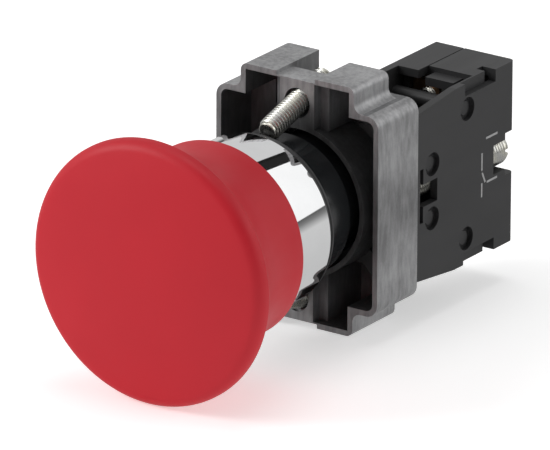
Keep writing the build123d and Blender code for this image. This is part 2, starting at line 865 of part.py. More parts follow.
with BuildPart() as block_fixing_screw:
    with BuildSketch(across(block_front + fixing_head_front)):
        with Locations((fixing_x, 0)):
            Circle(fixing_radius)
    extrude(amount=block_front + fixing_head_front - web_front - seat_gap)
    with BuildSketch(across(block_front + fixing_head_rear)):
        with Locations((fixing_x, 0)):
            Circle(fixing_head_radius)
    extrude(amount=fixing_head_rear - fixing_head_front)
    head_rim = block_fixing_screw.edges().filter_by(GeomType.CIRCLE).group_by(Axis.Y)[-1]
    chamfer(head_rim, fixing_slot_width / 2)
    slot_rear = block_front + fixing_head_rear
    box_between(
        (fixing_x - fixing_head_radius, slot_rear - fixing_slot_depth, -fixing_slot_width / 2),
        (fixing_x + fixing_head_radius, slot_rear + beyond, fixing_slot_width / 2),
        mode=Mode.SUBTRACT,
    )
block_fixing_screw.part.label = "block_fixing_screw"
export_step(block_fixing_screw.part, "parts/block_fixing_screw.step")

plunger_tip = pusher_rear + plunger_gap
window_half = bridge_width / 2 + free_gap / 2

with BuildPart() as block_plunger:
    with BuildSketch(mechanism(flange_front)):
        Rectangle(plunger_side, plunger_side)
    extrude(amount=flange_front - plunger_tip)
    with BuildSketch(mechanism(flange_back)):
        Rectangle(plunger_flange, plunger_flange)
    extrude(amount=plunger_flange_thickness)
    with BuildSketch(mechanism(carrier_rear)):
        Rectangle(carrier_width, carrier_height)
    extrude(amount=carrier_rear - flange_back)
    box_between(
        (split_x - window_half, window_front_face, -carrier_height),
        (split_x + window_half, window_rear_face, carrier_height),
        mode=Mode.SUBTRACT,
    )
    with BuildSketch(mechanism(carrier_rear + carrier_tail_length)):
        Circle(carrier_tail_radius)
    extrude(amount=carrier_tail_length)
block_plunger.part.label = "block_plunger"
export_step(block_plunger.part, "parts/block_plunger.step")

with BuildPart() as plunger_spring:
    coil(split_x, carrier_rear, inner_rear, plunger_spring_radius, plunger_spring_wire, plunger_spring_turns)
plunger_spring.part.label = "plunger_spring"
export_step(plunger_spring.part, "parts/plunger_spring.step")

with BuildPart() as contact_spring:
    coil(
        split_x,
        window_front_face,
        bridge_front,
        contact_spring_radius,
        contact_spring_wire,
        contact_spring_turns,
    )
contact_spring.part.label = "contact_spring"
export_step(contact_spring.part, "parts/contact_spring.step")

with BuildPart() as contact_bridge:
    with BuildSketch(mechanism(bridge_rear)):
        SlotOverall(2 * bridge_half_length, bridge_width, rotation=90)
    extrude(amount=bridge_thickness)
contact_bridge.part.label = "contact_bridge"
export_step(contact_bridge.part, "parts/contact_bridge.step")

with BuildPart() as bridge_tips:
    with BuildSketch(mechanism(bridge_tip_rear)):
        with Locations((0, tip_height), (0, -tip_height)):
            Circle(tip_radius)
    extrude(amount=tip_thickness)
bridge_tips.part.label = "bridge_tips"
export_step(bridge_tips.part, "parts/bridge_tips.step")

for place, side in (("upper", 1), ("lower", -1)):
    with BuildPart() as fixed_contact:
        box_between(
            (strip_left, strip_front, side * strip_inner_height),
            (strip_right, strip_rear, side * strip_outer_height),
        )
        with BuildSketch(mechanism(strip_rear + beyond)):
            with Locations((0, side * terminal_height)):
                Circle(terminal_screw_radius + running_gap)
        extrude(amount=strip_thickness + 2 * beyond, mode=Mode.SUBTRACT)
    fixed_contact.part.label = f"fixed_contact_{place}"
    export_step(fixed_contact.part, f"parts/fixed_contact_{place}.step")

    with BuildPart() as fixed_tip:
        with BuildSketch(mechanism(strip_front)):
            with Locations((0, side * tip_height)):
                Circle(tip_radius)
        extrude(amount=tip_thickness)
    fixed_tip.part.label = f"fixed_tip_{place}"
    export_step(fixed_tip.part, f"parts/fixed_tip_{place}.step")

    with BuildPart() as terminal_screw:
        shank_front = strip_front - screw_travel
        with BuildSketch(mechanism(terminal_head_front)):
            with Locations((0, side * terminal_height)):
                Circle(terminal_screw_radius)
        extrude(amount=terminal_head_front - shank_front)
        with BuildSketch(mechanism(terminal_head_rear)):
            with Locations((0, side * terminal_height)):
                Circle(terminal_head_radius)
        extrude(amount=terminal_head_height)
        slot_half = terminal_slot_width / 2
        box_between(
            (
                split_x - terminal_head_radius,
                terminal_head_rear - terminal_slot_depth,
                side * terminal_height - slot_half,
            ),
            (
                split_x + terminal_head_radius,
                terminal_head_rear + beyond,
                side * terminal_height + slot_half,
            ),
            mode=Mode.SUBTRACT,
        )
    terminal_screw.part.label = f"terminal_screw_{place}"
    export_step(terminal_screw.part, f"parts/terminal_screw_{place}.step")

    with BuildPart() as clamp_washer:
        with BuildSketch(mechanism(terminal_head_front)):
            with Locations((0, side * terminal_height)):
                Rectangle(clamp_washer_side, clamp_washer_side)
                Circle(terminal_screw_radius + running_gap, mode=Mode.SUBTRACT)
        extrude(amount=clamp_washer_thickness)
    clamp_washer.part.label = f"clamp_washer_{place}"
    export_step(clamp_washer.part, f"parts/clamp_washer_{place}.step")
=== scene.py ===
"""Looks of a panel-mounted mushroom push button with a clamping collar and a contact block.

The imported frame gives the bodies, the nodes and the overall box. This script refines the pieces that
show, gives each piece and each carried-over node its finish, and sets the floor, the light and the
camera. Sizes in the classes repeat the part's own, in millimetres. Meshes are written in metres.
"""

import logging
import math
from dataclasses import dataclass, field
from enum import Enum
from typing import Any, Optional, Sequence

import bmesh
import bpy
from mathutils import Matrix, Vector


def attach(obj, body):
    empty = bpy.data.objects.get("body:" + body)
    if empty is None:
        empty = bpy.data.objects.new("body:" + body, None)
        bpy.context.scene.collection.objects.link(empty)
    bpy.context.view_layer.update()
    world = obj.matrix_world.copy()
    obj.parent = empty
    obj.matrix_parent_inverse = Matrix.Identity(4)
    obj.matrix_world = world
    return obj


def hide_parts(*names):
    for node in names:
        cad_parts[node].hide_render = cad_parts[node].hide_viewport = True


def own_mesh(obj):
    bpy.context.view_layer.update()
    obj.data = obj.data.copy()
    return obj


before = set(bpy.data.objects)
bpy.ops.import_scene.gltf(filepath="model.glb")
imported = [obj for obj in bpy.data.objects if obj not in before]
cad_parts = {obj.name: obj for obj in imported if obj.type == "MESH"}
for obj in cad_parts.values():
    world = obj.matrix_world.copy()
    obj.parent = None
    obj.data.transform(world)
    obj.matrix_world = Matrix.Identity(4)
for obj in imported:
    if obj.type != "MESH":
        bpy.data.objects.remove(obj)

MM = 0.001
LOG = logging.getLogger("push_button")
Point = tuple[float, float]
Triple = tuple[float, float, float]
Colour = Triple
Coil = tuple[float, float, float, float, float]


class Slot(Enum):
    """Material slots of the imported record."""

    RED_CAP = "red_cap"
    TURNED_STEEL = "turned_steel"
    SPRING_STEEL = "spring_steel"
    NATURAL_PLASTIC = "natural_plastic"
    ZINC_STEEL = "zinc_steel"
    CHROME = "chrome"
    BLACK_RUBBER = "black_rubber"
    CAST_ZINC = "cast_zinc"
    BLACK_PLASTIC = "black_plastic"
    COPPER = "copper"
    SILVER = "silver"


class Side(Enum):
    """Upper or lower half of the button, as the sign of Z."""

    UPPER = 1
    LOWER = -1


# ---------------------------------------------------------------- node graphs


class Graph:
    """Adds and joins the nodes of one tree."""

    def __init__(self, tree: bpy.types.NodeTree) -> None:
        """Starts on an empty tree.

        Args:
            tree: the node tree to fill.
        """
        self.tree = tree

    def add(self, kind: str, inputs: Optional[dict[Any, Any]] = None, **settings: Any) -> bpy.types.Node:
        """Adds a node.

        Args:
            kind: the node's type name.
            inputs: input name or number to a value, or to the socket that feeds it.
            settings: attributes of the node itself.

        Returns:
            The new node.
        """
        node = self.tree.nodes.new(kind)
        for name, value in settings.items():
            setattr(node, name, value)
        for name, value in (inputs or {}).items():
            if isinstance(value, bpy.types.NodeSocket):
                self.tree.links.new(value, node.inputs[name])
            else:
                node.inputs[name].default_value = value
        return node

    def math(self, operation: str, *values: Any, clamp: bool = False) -> bpy.types.NodeSocket:
        """Adds a Math node.

        Args:
            operation: the operation's name.
            values: numbers or sockets, in order.
            clamp: whether the result is kept between 0 and 1.

        Returns:
            Its output socket.
        """
        made = self.add("ShaderNodeMath", dict(enumerate(values)), operation=operation, use_clamp=clamp)
        return made.outputs[0]

    def dimmed(self, mask: bpy.types.NodeSocket, drop: float) -> bpy.types.NodeSocket:
        """One, less a mask times the share that it takes away."""
        return self.math("SUBTRACT", 1.0, self.math("MULTIPLY", mask, drop))


@dataclass(frozen=True)
class Finish:
    """Shared part of every finish: base colour, gloss, metal share and the slot it stands for."""

    name: str
    slot: Slot
    colour: Colour
    roughness: float
    metallic: float = 0.0

    def material(self) -> bpy.types.Material:
        """Builds the finish once.

        Returns:
            The material, made now or on an earlier call.
        """
        made = bpy.data.materials.get(self.name)
        if made is not None:
            return made
        made = bpy.data.materials.new(self.name)
        made.use_nodes = True
        made.node_tree.nodes.clear()
        graph = Graph(made.node_tree)
        shader = graph.add("ShaderNodeBsdfPrincipled", {"Metallic": self.metallic})
        output = graph.add("ShaderNodeOutputMaterial")
        made.node_tree.links.new(shader.outputs[0], output.inputs[0])
        place = graph.add("ShaderNodeTexCoord").outputs["Object"]
        self.dress(graph, shader, place)
        return made

    def dress(self, graph: Graph, shader: bpy.types.Node, place: bpy.types.NodeSocket) -> None:
        """Adds the finish's own detail.

        Args:
            graph: the material's graph.
            shader: its Principled shader.
            place: object coordinates, in metres.
        """
        raise NotImplementedError

    def noise(
        self,
        graph: Graph,
        place: bpy.types.NodeSocket,
        scale: float,
        detail: float = 3.0,
        stretch: Triple = (1.0, 1.0, 1.0),
    ) -> bpy.types.NodeSocket:
        """Adds a noise pattern.

        Args:
            graph: the material's graph.
            place: coordinates.
            scale: pattern repeats per metre.
            detail: octaves.
            stretch: factor on the scale for each axis.

        Returns:
            The pattern's value socket.
        """
        mapped = graph.add("ShaderNodeMapping", {"Vector": place, "Scale": stretch}).outputs[0]
        inputs = {"Vector": mapped, "Scale": scale, "Detail": detail}
        return graph.add("ShaderNodeTexNoise", inputs).outputs["Fac"]

    def ramp(
        self,
        graph: Graph,
        value: bpy.types.NodeSocket,
        low: Colour,
        high: Colour,
        start: float = 0.35,
        end: float = 0.65,
    ) -> bpy.types.NodeSocket:
        """Maps a pattern between two colours.

        Args:
            graph: the material's graph.
            value: the pattern.
            low: colour at and below start.
            high: colour at and above end.
            start: pattern value of the low colour.
            end: pattern value of the high colour.

        Returns:
            The colour socket.
        """
        node = graph.add("ShaderNodeValToRGB", {"Fac": value})
        node.color_ramp.elements[0].position = start
        node.color_ramp.elements[0].color = (*low, 1.0)
        node.color_ramp.elements[1].position = end
        node.color_ramp.elements[1].color = (*high, 1.0)
        return node.outputs["Color"]

    def spread(
        self,
        graph: Graph,
        value: bpy.types.NodeSocket,
        low: float,
        high: float,
        start: float = 0.3,
        end: float = 0.7,
    ) -> bpy.types.NodeSocket:
        """Maps a pattern between two numbers.

        Args:
            graph: the material's graph.
            value: the pattern.
            low: result at start.
            high: result at end.
            start: pattern value of the low result.
            end: pattern value of the high result.

        Returns:
            The number socket.
        """
        inputs = {0: value, 1: start, 2: end, 3: low, 4: high}
        return graph.add("ShaderNodeMapRange", inputs).outputs[0]

    def shade(self, factor: float) -> Colour:
        """Base colour times a factor, kept at 1 or less."""
        return tuple(min(1.0, part * factor) for part in self.colour)

    def relief(
        self,
        graph: Graph,
        shader: bpy.types.Node,
        heights: Sequence[tuple[bpy.types.NodeSocket, float, float]],
    ) -> None:
        """Stacks bump patterns onto the shader.

        Args:
            graph: the material's graph.
            shader: its Principled shader.
            heights: pattern socket, strength and depth in millimetres, from the finest on.
        """
        normal: Optional[bpy.types.NodeSocket] = None
        for height, strength, depth in heights:
            inputs = {"Height": height, "Strength": strength, "Distance": depth * MM}
            if normal is not None:
                inputs["Normal"] = normal
            normal = graph.add("ShaderNodeBump", inputs).outputs[0]
        if normal is not None:
            graph.tree.links.new(normal, shader.inputs["Normal"])

    def paint(self, graph: Graph, shader: bpy.types.Node, colour: Any, roughness: Any) -> None:
        """Feeds colour and roughness patterns to the shader."""
        graph.tree.links.new(colour, shader.inputs["Base Color"])
        graph.tree.links.new(roughness, shader.inputs["Roughness"])


@dataclass(frozen=True)
class Moulded(Finish):
    """Injection-moulded plastic: slow tone drift, fine spark-eroded grain and flow marks."""

    grain: float = 5200.0
    grain_depth: float = 0.004
    drift: float = 0.07
    gloss: float = 0.5
    drift_scale: float = 55.0
    flow_scale: float = 260.0
    flow_stretch: Triple = (1.0, 0.25, 1.0)
    flow_share: float = 0.3
    flow_depth: float = 0.02

    def dress(self, graph: Graph, shader: bpy.types.Node, place: bpy.types.NodeSocket) -> None:
        """Adds drift, flow marks and grain.

        Args:
            graph: the material's graph.
            shader: its Principled shader.
            place: object coordinates, in metres.
        """
        shader.inputs["Specular IOR Level"].default_value = self.gloss
        slow = self.noise(graph, place, self.drift_scale, 2.0)
        flow = self.noise(graph, place, self.flow_scale, 4.0, self.flow_stretch)
        fine = self.noise(graph, place, self.grain, 2.0)
        slow_part = graph.math("MULTIPLY", slow, 1.0 - self.flow_share)
        mixed = graph.math("ADD", slow_part, graph.math("MULTIPLY", flow, self.flow_share))
        colour = self.ramp(graph, mixed, self.shade(1.0 - self.drift), self.shade(1.0 + self.drift))
        rough = self.spread(graph, flow, self.roughness - 0.04, self.roughness + 0.05)
        self.paint(graph, shader, colour, rough)
        self.relief(graph, shader, [(fine, 0.5, self.grain_depth), (flow, 0.15, self.flow_depth)])


@dataclass(frozen=True)
class Cast(Finish):
    """Die-cast zinc after tumbling: granular skin, drag streaks, worn, brighter patches, and a painted shade
    that darkens it near the Y axis.
    """

    streak: Triple = (1.0, 1.0, 0.22)
    # Painted shade: radii in metres over which the colour goes from hub_shade times to full, darker near the
    # drum.
    hub: Point = (0.0119, 0.0160)
    hub_shade: float = 0.38
    patch_scale: float = 170.0
    streak_scale: float = 1500.0
    grain_scale: float = 3600.0
    pit_scale: float = 1300.0
    grain_depth: float = 0.02
    streak_depth: float = 0.03
    pit_depth: float = 0.02

    def dress(self, graph: Graph, shader: bpy.types.Node, place: bpy.types.NodeSocket) -> None:
        """Adds grain, streaks, patches, pits and the painted shade near the axis.

        Args:
            graph: the material's graph.
            shader: its Principled shader.
            place: object coordinates, in metres.
        """
        patch = self.noise(graph, place, self.patch_scale, 5.0)
        streaks = self.noise(graph, place, self.streak_scale, 4.0, self.streak)
        grain = self.noise(graph, place, self.grain_scale, 3.0)
        mixed = graph.math("ADD", graph.math("MULTIPLY", streaks, 0.5), graph.math("MULTIPLY", patch, 0.5))
        metal = self.ramp(graph, mixed, self.shade(0.72), self.shade(1.25), 0.36, 0.64)
        parts = graph.add("ShaderNodeSeparateXYZ", {0: place}).outputs
        square = graph.math("ADD", graph.math("POWER", parts["X"], 2.0), graph.math("POWER", parts["Z"], 2.0))
        # Painted shade: the colour darkens towards the axis, where the drum shades the collar.
        painted_light = self.spread(graph, graph.math("SQRT", square), self.hub_shade, 1.0, *self.hub)
        colour = graph.add("ShaderNodeVectorMath", {0: metal, "Scale": painted_light}, operation="SCALE").outputs[0]
        rough = self.spread(graph, grain, self.roughness - 0.09, self.roughness + 0.1)
        self.paint(graph, shader, colour, rough)
        cells = graph.add("ShaderNodeTexVoronoi", {"Vector": place, "Scale": self.pit_scale})
        pitted = self.spread(graph, cells.outputs["Distance"], 0.0, 1.0, 0.02, 0.2)
        heights = [
            (grain, 0.5, self.grain_depth),
            (streaks, 0.4, self.streak_depth),
            (pitted, 0.12, self.pit_depth),
        ]
        self.relief(graph, shader, heights)


@dataclass(frozen=True)
class Plated(Finish):
    """Bright plating on metal: a faint haze, fine buffing lines and hardly any waviness."""

    haze: float = 0.02
    haze_scale: float = 140.0
    buff: Triple = (0.12, 1.0, 0.12)
    buff_scale: float = 2400.0
    buff_depth: float = 0.001

    def dress(self, graph: Graph, shader: bpy.types.Node, place: bpy.types.NodeSocket) -> None:
        """Adds haze and buffing lines.

        Args:
            graph: the material's graph.
            shader: its Principled shader.
            place: object coordinates, in metres.
        """
        haze = self.noise(graph, place, self.haze_scale, 4.0)
        lines = self.noise(graph, place, self.buff_scale, 2.0, self.buff)
        colour = self.ramp(graph, haze, self.shade(0.97), self.shade(1.02))
        rough = self.spread(graph, haze, self.roughness, self.roughness + self.haze)
        self.paint(graph, shader, colour, rough)
        self.relief(graph, shader, [(lines, 0.05, self.buff_depth)])


@dataclass(frozen=True)
class Zinced(Finish):
    """Passivated zinc on steel: pale, with warm and cool clouds and a slightly rough skin."""

    warm: Colour = (1.04, 1.02, 0.92)
    cloud_scale: float = 420.0
    skin_scale: float = 4200.0
    skin_depth: float = 0.006

    def dress(self, graph: Graph, shader: bpy.types.Node, place: bpy.types.NodeSocket) -> None:
        """Adds the clouds and the skin.

        Args:
            graph: the material's graph.
            shader: its Principled shader.
            place: object coordinates, in metres.
        """
        cloud = self.noise(graph, place, self.cloud_scale, 4.0)
        fine = self.noise(graph, place, self.skin_scale, 2.0)
        warm = tuple(min(1.0, a * b) for a, b in zip(self.colour, self.warm))
        colour = self.ramp(graph, cloud, self.shade(0.86), warm, 0.38, 0.62)
        rough = self.spread(graph, fine, self.roughness - 0.07, self.roughness + 0.1)
        self.paint(graph, shader, colour, rough)
        self.relief(graph, shader, [(fine, 0.35, self.skin_depth)])


@dataclass(frozen=True)
class Turned(Finish):
    """Turned or drawn metal: fine tool lines round or along the Y axis and small tone changes."""

    lines: Triple = (0.15, 1.0, 0.15)
    tone_scale: float = 240.0
    line_scale: float = 3800.0
    line_depth: float = 0.004

    def dress(self, graph: Graph, shader: bpy.types.Node, place: bpy.types.NodeSocket) -> None:
        """Adds the tool lines and the tone changes.

        Args:
            graph: the material's graph.
            shader: its Principled shader.
            place: object coordinates, in metres.
        """
        tone = self.noise(graph, place, self.tone_scale, 3.0)
        tool = self.noise(graph, place, self.line_scale, 2.0, self.lines)
        colour = self.ramp(graph, tone, self.shade(0.9), self.shade(1.08))
        rough = self.spread(graph, tool, self.roughness - 0.05, self.roughness + 0.08)
        self.paint(graph, shader, colour, rough)
        self.relief(graph, shader, [(tool, 0.3, self.line_depth)])


@dataclass(frozen=True)
class Rubber(Finish):
    """Moulded rubber: dull bloom in places and a soft fine skin."""

    bloom: float = 1.7
    bloom_scale: float = 200.0
    skin_scale: float = 3000.0
    skin_depth: float = 0.008

    def dress(self, graph: Graph, shader: bpy.types.Node, place: bpy.types.NodeSocket) -> None:
        """Adds bloom and skin.

        Args:
            graph: the material's graph.
            shader: its Principled shader.
            place: object coordinates, in metres.
        """
        bloom = self.noise(graph, place, self.bloom_scale, 4.0)
        skin = self.noise(graph, place, self.skin_scale, 3.0)
        colour = self.ramp(graph, bloom, self.colour, self.shade(self.bloom), 0.45, 0.8)
        rough = self.spread(graph, skin, self.roughness - 0.06, self.roughness + 0.08)
        self.paint(graph, shader, colour, rough)
        self.relief(graph, shader, [(skin, 0.4, self.skin_depth)])


RED = Moulded("red_moulded", Slot.RED_CAP, (0.545, 0.0135, 0.025), 0.48, drift=0.025, gloss=0.29)
BLACK = Moulded("black_moulded", Slot.BLACK_PLASTIC, (0.026, 0.026, 0.027), 0.45, drift=0.10, gloss=0.34)
NATURAL = Moulded("natural_moulded", Slot.NATURAL_PLASTIC, (0.74, 0.72, 0.66), 0.48, drift=0.04)
PRINT = Moulded("print_ink", Slot.NATURAL_PLASTIC, (0.34, 0.34, 0.34), 0.6, drift=0.06)
CHROME = Plated("bright_chrome", Slot.CHROME, (0.90, 0.905, 0.91), 0.03, 1.0)
DARK_NECK = Plated("dark_lacquer", Slot.CHROME, (0.012, 0.013, 0.014), 0.16, haze=0.06)
RUBBER = Rubber("black_rubber_skin", Slot.BLACK_RUBBER, (0.022, 0.022, 0.023), 0.42)
CASTING = Cast("tumbled_casting", Slot.CAST_ZINC, (0.33, 0.33, 0.335), 0.46, 0.75)
# A brighter copy of the casting for its bevelled edges: a painted highlight.
CASTING_EDGE_HIGHLIGHT = Cast("casting_painted_edge_highlight", Slot.CAST_ZINC, (0.56, 0.56, 0.565), 0.36, 0.85)
# A darker copy of the casting for its hollow front: painted shade.
CASTING_HOLLOW_SHADE = Cast("casting_painted_hollow_shade", Slot.CAST_ZINC, (0.16, 0.162, 0.166), 0.5, 0.3)
ZINC = Zinced("passivated_zinc", Slot.ZINC_STEEL, (0.52, 0.52, 0.505), 0.27, 1.0)
STEEL = Turned("turned_skin", Slot.TURNED_STEEL, (0.56, 0.56, 0.57), 0.26, 1.0)
BLACKED = Turned("blacked_spring_steel", Slot.SPRING_STEEL, (0.035, 0.035, 0.037), 0.38, 0.6)
SPRING = Turned("drawn_wire", Slot.SPRING_STEEL, (0.50, 0.50, 0.52), 0.28, 1.0, lines=(1.0, 0.3, 1.0))
COPPER = Turned("stamped_copper", Slot.COPPER, (0.42, 0.25, 0.14), 0.34, 1.0, lines=(1.0, 1.0, 0.2))
SILVER = Turned("silver_face", Slot.SILVER, (0.85, 0.84, 0.80), 0.32, 1.0)


# ---------------------------------------------------------------- mesh helpers


class Mesher:
    """Mesh operations that several pieces share. Lengths are in millimetres, angles in degrees."""

    MERGE = 0.0005
    NODE_MERGE = 0.002
    NODE_FLAT = 0.5
    NODE_SHARP = 30.0
    BEVEL_FROM = 35.0
    ON_AXIS = 1e-9

    @staticmethod
    def finish(name: str, work: bmesh.types.BMesh, finish: Finish, angle: float = 32.0) -> bpy.types.Object:
        """Closes a bmesh in millimetres into an object in metres.

        Args:
            name: the object's name.
            work: the bmesh, which is freed.
            finish: its finish.
            angle: edges sharper than this, in degrees, stay sharp.

        Returns:
            The linked object.
        """
        bmesh.ops.remove_doubles(work, verts=work.verts, dist=Mesher.MERGE)
        bmesh.ops.recalc_face_normals(work, faces=work.faces)
        bmesh.ops.scale(work, vec=(MM, MM, MM), verts=work.verts)
        mesh = bpy.data.meshes.new(name)
        work.to_mesh(mesh)
        work.free()
        mesh.shade_smooth()
        mesh.set_sharp_from_angle(angle=math.radians(angle))
        mesh.materials.append(finish.material())
        piece = bpy.data.objects.new(name, mesh)
        bpy.context.scene.collection.objects.link(piece)
        return piece

    @staticmethod
    def rounded(points: Sequence[Point], radii: dict[int, float], steps: int = 6) -> list[Point]:
        """Rounds chosen corners of a closed outline.

        Args:
            points: the outline's corners.
            radii: corner number to radius.
            steps: segments of each arc.

        Returns:
            The outline with arcs for those corners.
        """
        made: list[Point] = []
        for number, point in enumerate(points):
            radius = radii.get(number, 0.0)
            if radius <= 0:
                made.append(point)
                continue
            here = Vector(point)
            before = (Vector(points[number - 1]) - here).normalized()
            after = (Vector(points[(number + 1) % len(points)]) - here).normalized()
            half = before.angle(after) / 2
            centre = here + (before + after).normalized() * (radius / math.sin(half))
            start = here + before * (radius / math.tan(half)) - centre
            end = here + after * (radius / math.tan(half)) - centre
            turn = start.angle_signed(end)
            for step in range(steps + 1):
                share = -turn * step / steps
                spun = Matrix.Rotation(share, 2) @ start
                made.append(tuple(centre + spun))
        return made

    @staticmethod
    def lathe(
        work: bmesh.types.BMesh, outline: Sequence[Point], segments: int = 128, centre: Point = (0.0, 0.0)
    ) -> None:
        """Turns a closed outline of (radius, y) round an axis along Y.

        Args:
            work: the bmesh to add to.
            outline: the closed outline; radius 0 lies on the axis.
            segments: faces round the axis.
            centre: x and z of the axis.
        """
        rings: list[list[bmesh.types.BMVert]] = []
        for radius, depth in outline:
            if radius <= Mesher.ON_AXIS:
                rings.append([work.verts.new((centre[0], depth, centre[1]))])
                continue
            ring = []
            for step in range(segments):
                turn = 2 * math.pi * step / segments
                spot = (centre[0] + radius * math.cos(turn), depth, centre[1] + radius * math.sin(turn))
                ring.append(work.verts.new(spot))
            rings.append(ring)
        for number, ring in enumerate(rings):
            other = rings[(number + 1) % len(rings)]
            for step in range(segments):
                corners = [
                    ring[step % len(ring)],
                    ring[(step + 1) % len(ring)],
                    other[(step + 1) % len(other)],
                    other[step % len(other)],
                ]
                unique = list(dict.fromkeys(corners))
                if len(unique) > 2:
                    work.faces.new(unique)

    @staticmethod
    def block(work: bmesh.types.BMesh, low: Triple, high: Triple, bevel: float = 0.0) -> None:
        """Adds a box, with its edges bevelled if asked.

        Args:
            work: the bmesh to add to.
            low: lowest corner.
            high: highest corner.
            bevel: width of the bevel.
        """
        made = bmesh.ops.create_cube(work, size=1.0)["verts"]
        size = Vector(high) - Vector(low)
        middle = (Vector(high) + Vector(low)) / 2
        for vert in made:
            vert.co = Vector((vert.co.x * size.x, vert.co.y * size.y, vert.co.z * size.z)) + middle
        if bevel > 0:
            edges = list({edge for vert in made for edge in vert.link_edges})
            bmesh.ops.bevel(work, geom=edges, offset=bevel, segments=2, profile=0.5, affect="EDGES")

    @staticmethod
    def cut(piece: bpy.types.Object, low: Triple, high: Triple, place: Optional[Matrix] = None) -> None:
        """Cuts a box out of a piece.

        Args:
            piece: the object, at the origin.
            low: the box's lowest corner, in millimetres.
            high: its highest corner.
            place: where the box goes, if it isn't square to the axes.
        """
        work = bmesh.new()
        Mesher.block(work, low, high)
        bmesh.ops.scale(work, vec=(MM, MM, MM), verts=work.verts)
        if place is not None:
            bmesh.ops.transform(work, matrix=place, verts=work.verts)
        mesh = bpy.data.meshes.new("cutter")
        work.to_mesh(mesh)
        work.free()
        cutter = bpy.data.objects.new("cutter", mesh)
        bpy.context.scene.collection.objects.link(cutter)
        modifier = piece.modifiers.new("slot", "BOOLEAN")
        modifier.operation, modifier.solver, modifier.object = "DIFFERENCE", "EXACT", cutter
        Mesher.settle(piece)
        bpy.data.objects.remove(cutter)

    @staticmethod
    def settle(piece: bpy.types.Object) -> None:
        """Turns a piece with its modifiers into a plain mesh.

        Args:
            piece: the object, which keeps its name and loses its modifiers.
        """
        graph = bpy.context.evaluated_depsgraph_get()
        mesh = bpy.data.meshes.new_from_object(piece.evaluated_get(graph), depsgraph=graph)
        mesh.name = piece.name
        piece.modifiers.clear()
        piece.data = mesh

    @staticmethod
    def eased(
        node: str, name: str, width: float, finish: Finish, painted_light: Optional[Finish] = None
    ) -> bpy.types.Object:
        """Copies a CAD node, joins its triangles and eases its edges.

        Args:
            node: the CAD node's name.
            name: the new piece's name.
            width: width of the eased edge, in millimetres.
            finish: the piece's finish.
            painted_light: the finish of its bevelled edges, a painted highlight, if they get one.

        Returns:
            The linked object.
        """
        work = bmesh.new()
        work.from_mesh(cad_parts[node].data)
        bmesh.ops.remove_doubles(work, verts=work.verts, dist=Mesher.NODE_MERGE * MM)
        bmesh.ops.dissolve_limit(
            work,
            angle_limit=math.radians(Mesher.NODE_FLAT),
            verts=work.verts,
            edges=work.edges,
            delimit={"NORMAL"},
        )
        mesh = bpy.data.meshes.new(name)
        work.to_mesh(mesh)
        work.free()
        mesh.shade_smooth()
        mesh.set_sharp_from_angle(angle=math.radians(Mesher.NODE_SHARP))
        mesh.materials.append(finish.material())
        if painted_light is not None:
            mesh.materials.append(painted_light.material())
        piece = bpy.data.objects.new(name, mesh)
        bpy.context.scene.collection.objects.link(piece)
        bevel = piece.modifiers.new("eased", "BEVEL")
        bevel.width, bevel.segments, bevel.limit_method = width * MM, 2, "ANGLE"
        bevel.angle_limit, bevel.use_clamp_overlap = math.radians(Mesher.BEVEL_FROM), True
        # The bevel faces take the second finish when given: a painted highlight on the edges.
        bevel.material = 0 if painted_light is None else 1
        flat = piece.modifiers.new("flat", "WEIGHTED_NORMAL")
        flat.weight, flat.keep_sharp = 100, True
        Mesher.settle(piece)
        return piece


def hand_over(piece: bpy.types.Object, body: str, finish: Finish, *nodes: str) -> None:
    """Puts a finished piece on its body.

    Args:
        piece: the finished piece.
        body: the CAD body it rides on.
        finish: the piece's finish; not used.
        nodes: CAD nodes that the piece stands for.
    """
    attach(piece, body)
    if nodes:
        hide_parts(*nodes)
    LOG.info("piece %s on %s, %d faces", piece.name, body, len(piece.data.polygons))


# ---------------------------------------------------------------- geometry node trees


class Tree:
    """A geometry node tree with named size inputs."""

    def __init__(self, name: str, sizes: Sequence[str], counts: Sequence[str]) -> None:
        """Makes the tree's interface.

        Args:
            name: the tree's name.
            sizes: names of its length inputs.
            counts: names of its whole-number inputs.
        """
        self.group = bpy.data.node_groups.new(name, "GeometryNodeTree")
        self.identifiers: dict[str, str] = {}
        face = self.group.interface
        for label in sizes:
            made = face.new_socket(name=label, in_out="INPUT", socket_type="NodeSocketFloat")
            self.identifiers[label] = made.identifier
        for label in counts:
            made = face.new_socket(name=label, in_out="INPUT", socket_type="NodeSocketInt")
            self.identifiers[label] = made.identifier
        made = face.new_socket(name="Finish", in_out="INPUT", socket_type="NodeSocketMaterial")
        self.identifiers["Finish"] = made.identifier
        face.new_socket(name="Geometry", in_out="OUTPUT", socket_type="NodeSocketGeometry")
        self.graph = Graph(self.group)
        self.inputs = self.graph.add("NodeGroupInput").outputs

    def close(self, geometry: bpy.types.NodeSocket) -> None:
        """Ends the tree in Realize Instances and Set Material.

        Args:
            geometry: what the tree has made.
        """
        real = self.graph.add("GeometryNodeRealizeInstances", {"Geometry": geometry}).outputs[0]
        painted = self.graph.add(
            "GeometryNodeSetMaterial", {"Geometry": real, "Material": self.inputs["Finish"]}
        ).outputs[0]
        self.graph.add("NodeGroupOutput", {"Geometry": painted})

    def grow(self, values: dict[str, Any], finish: Finish) -> bmesh.types.BMesh:
        """Runs the tree.

        Args:
            values: input name to value.
            finish: the material it sets.

        Returns:
            A bmesh in millimetres with what it makes.
        """
        holder = bpy.data.objects.new("holder", bpy.data.meshes.new("holder"))
        bpy.context.scene.collection.objects.link(holder)
        modifier = holder.modifiers.new("tree", "NODES")
        modifier.node_group = self.group
        for label, value in values.items():
            modifier[self.identifiers[label]] = value
        modifier[self.identifiers["Finish"]] = finish.material()
        graph = bpy.context.evaluated_depsgraph_get()
        mesh = bpy.data.meshes.new_from_object(holder.evaluated_get(graph), depsgraph=graph)
        bpy.data.objects.remove(holder)
        work = bmesh.new()
        work.from_mesh(mesh)
        bpy.data.meshes.remove(mesh)
        return work


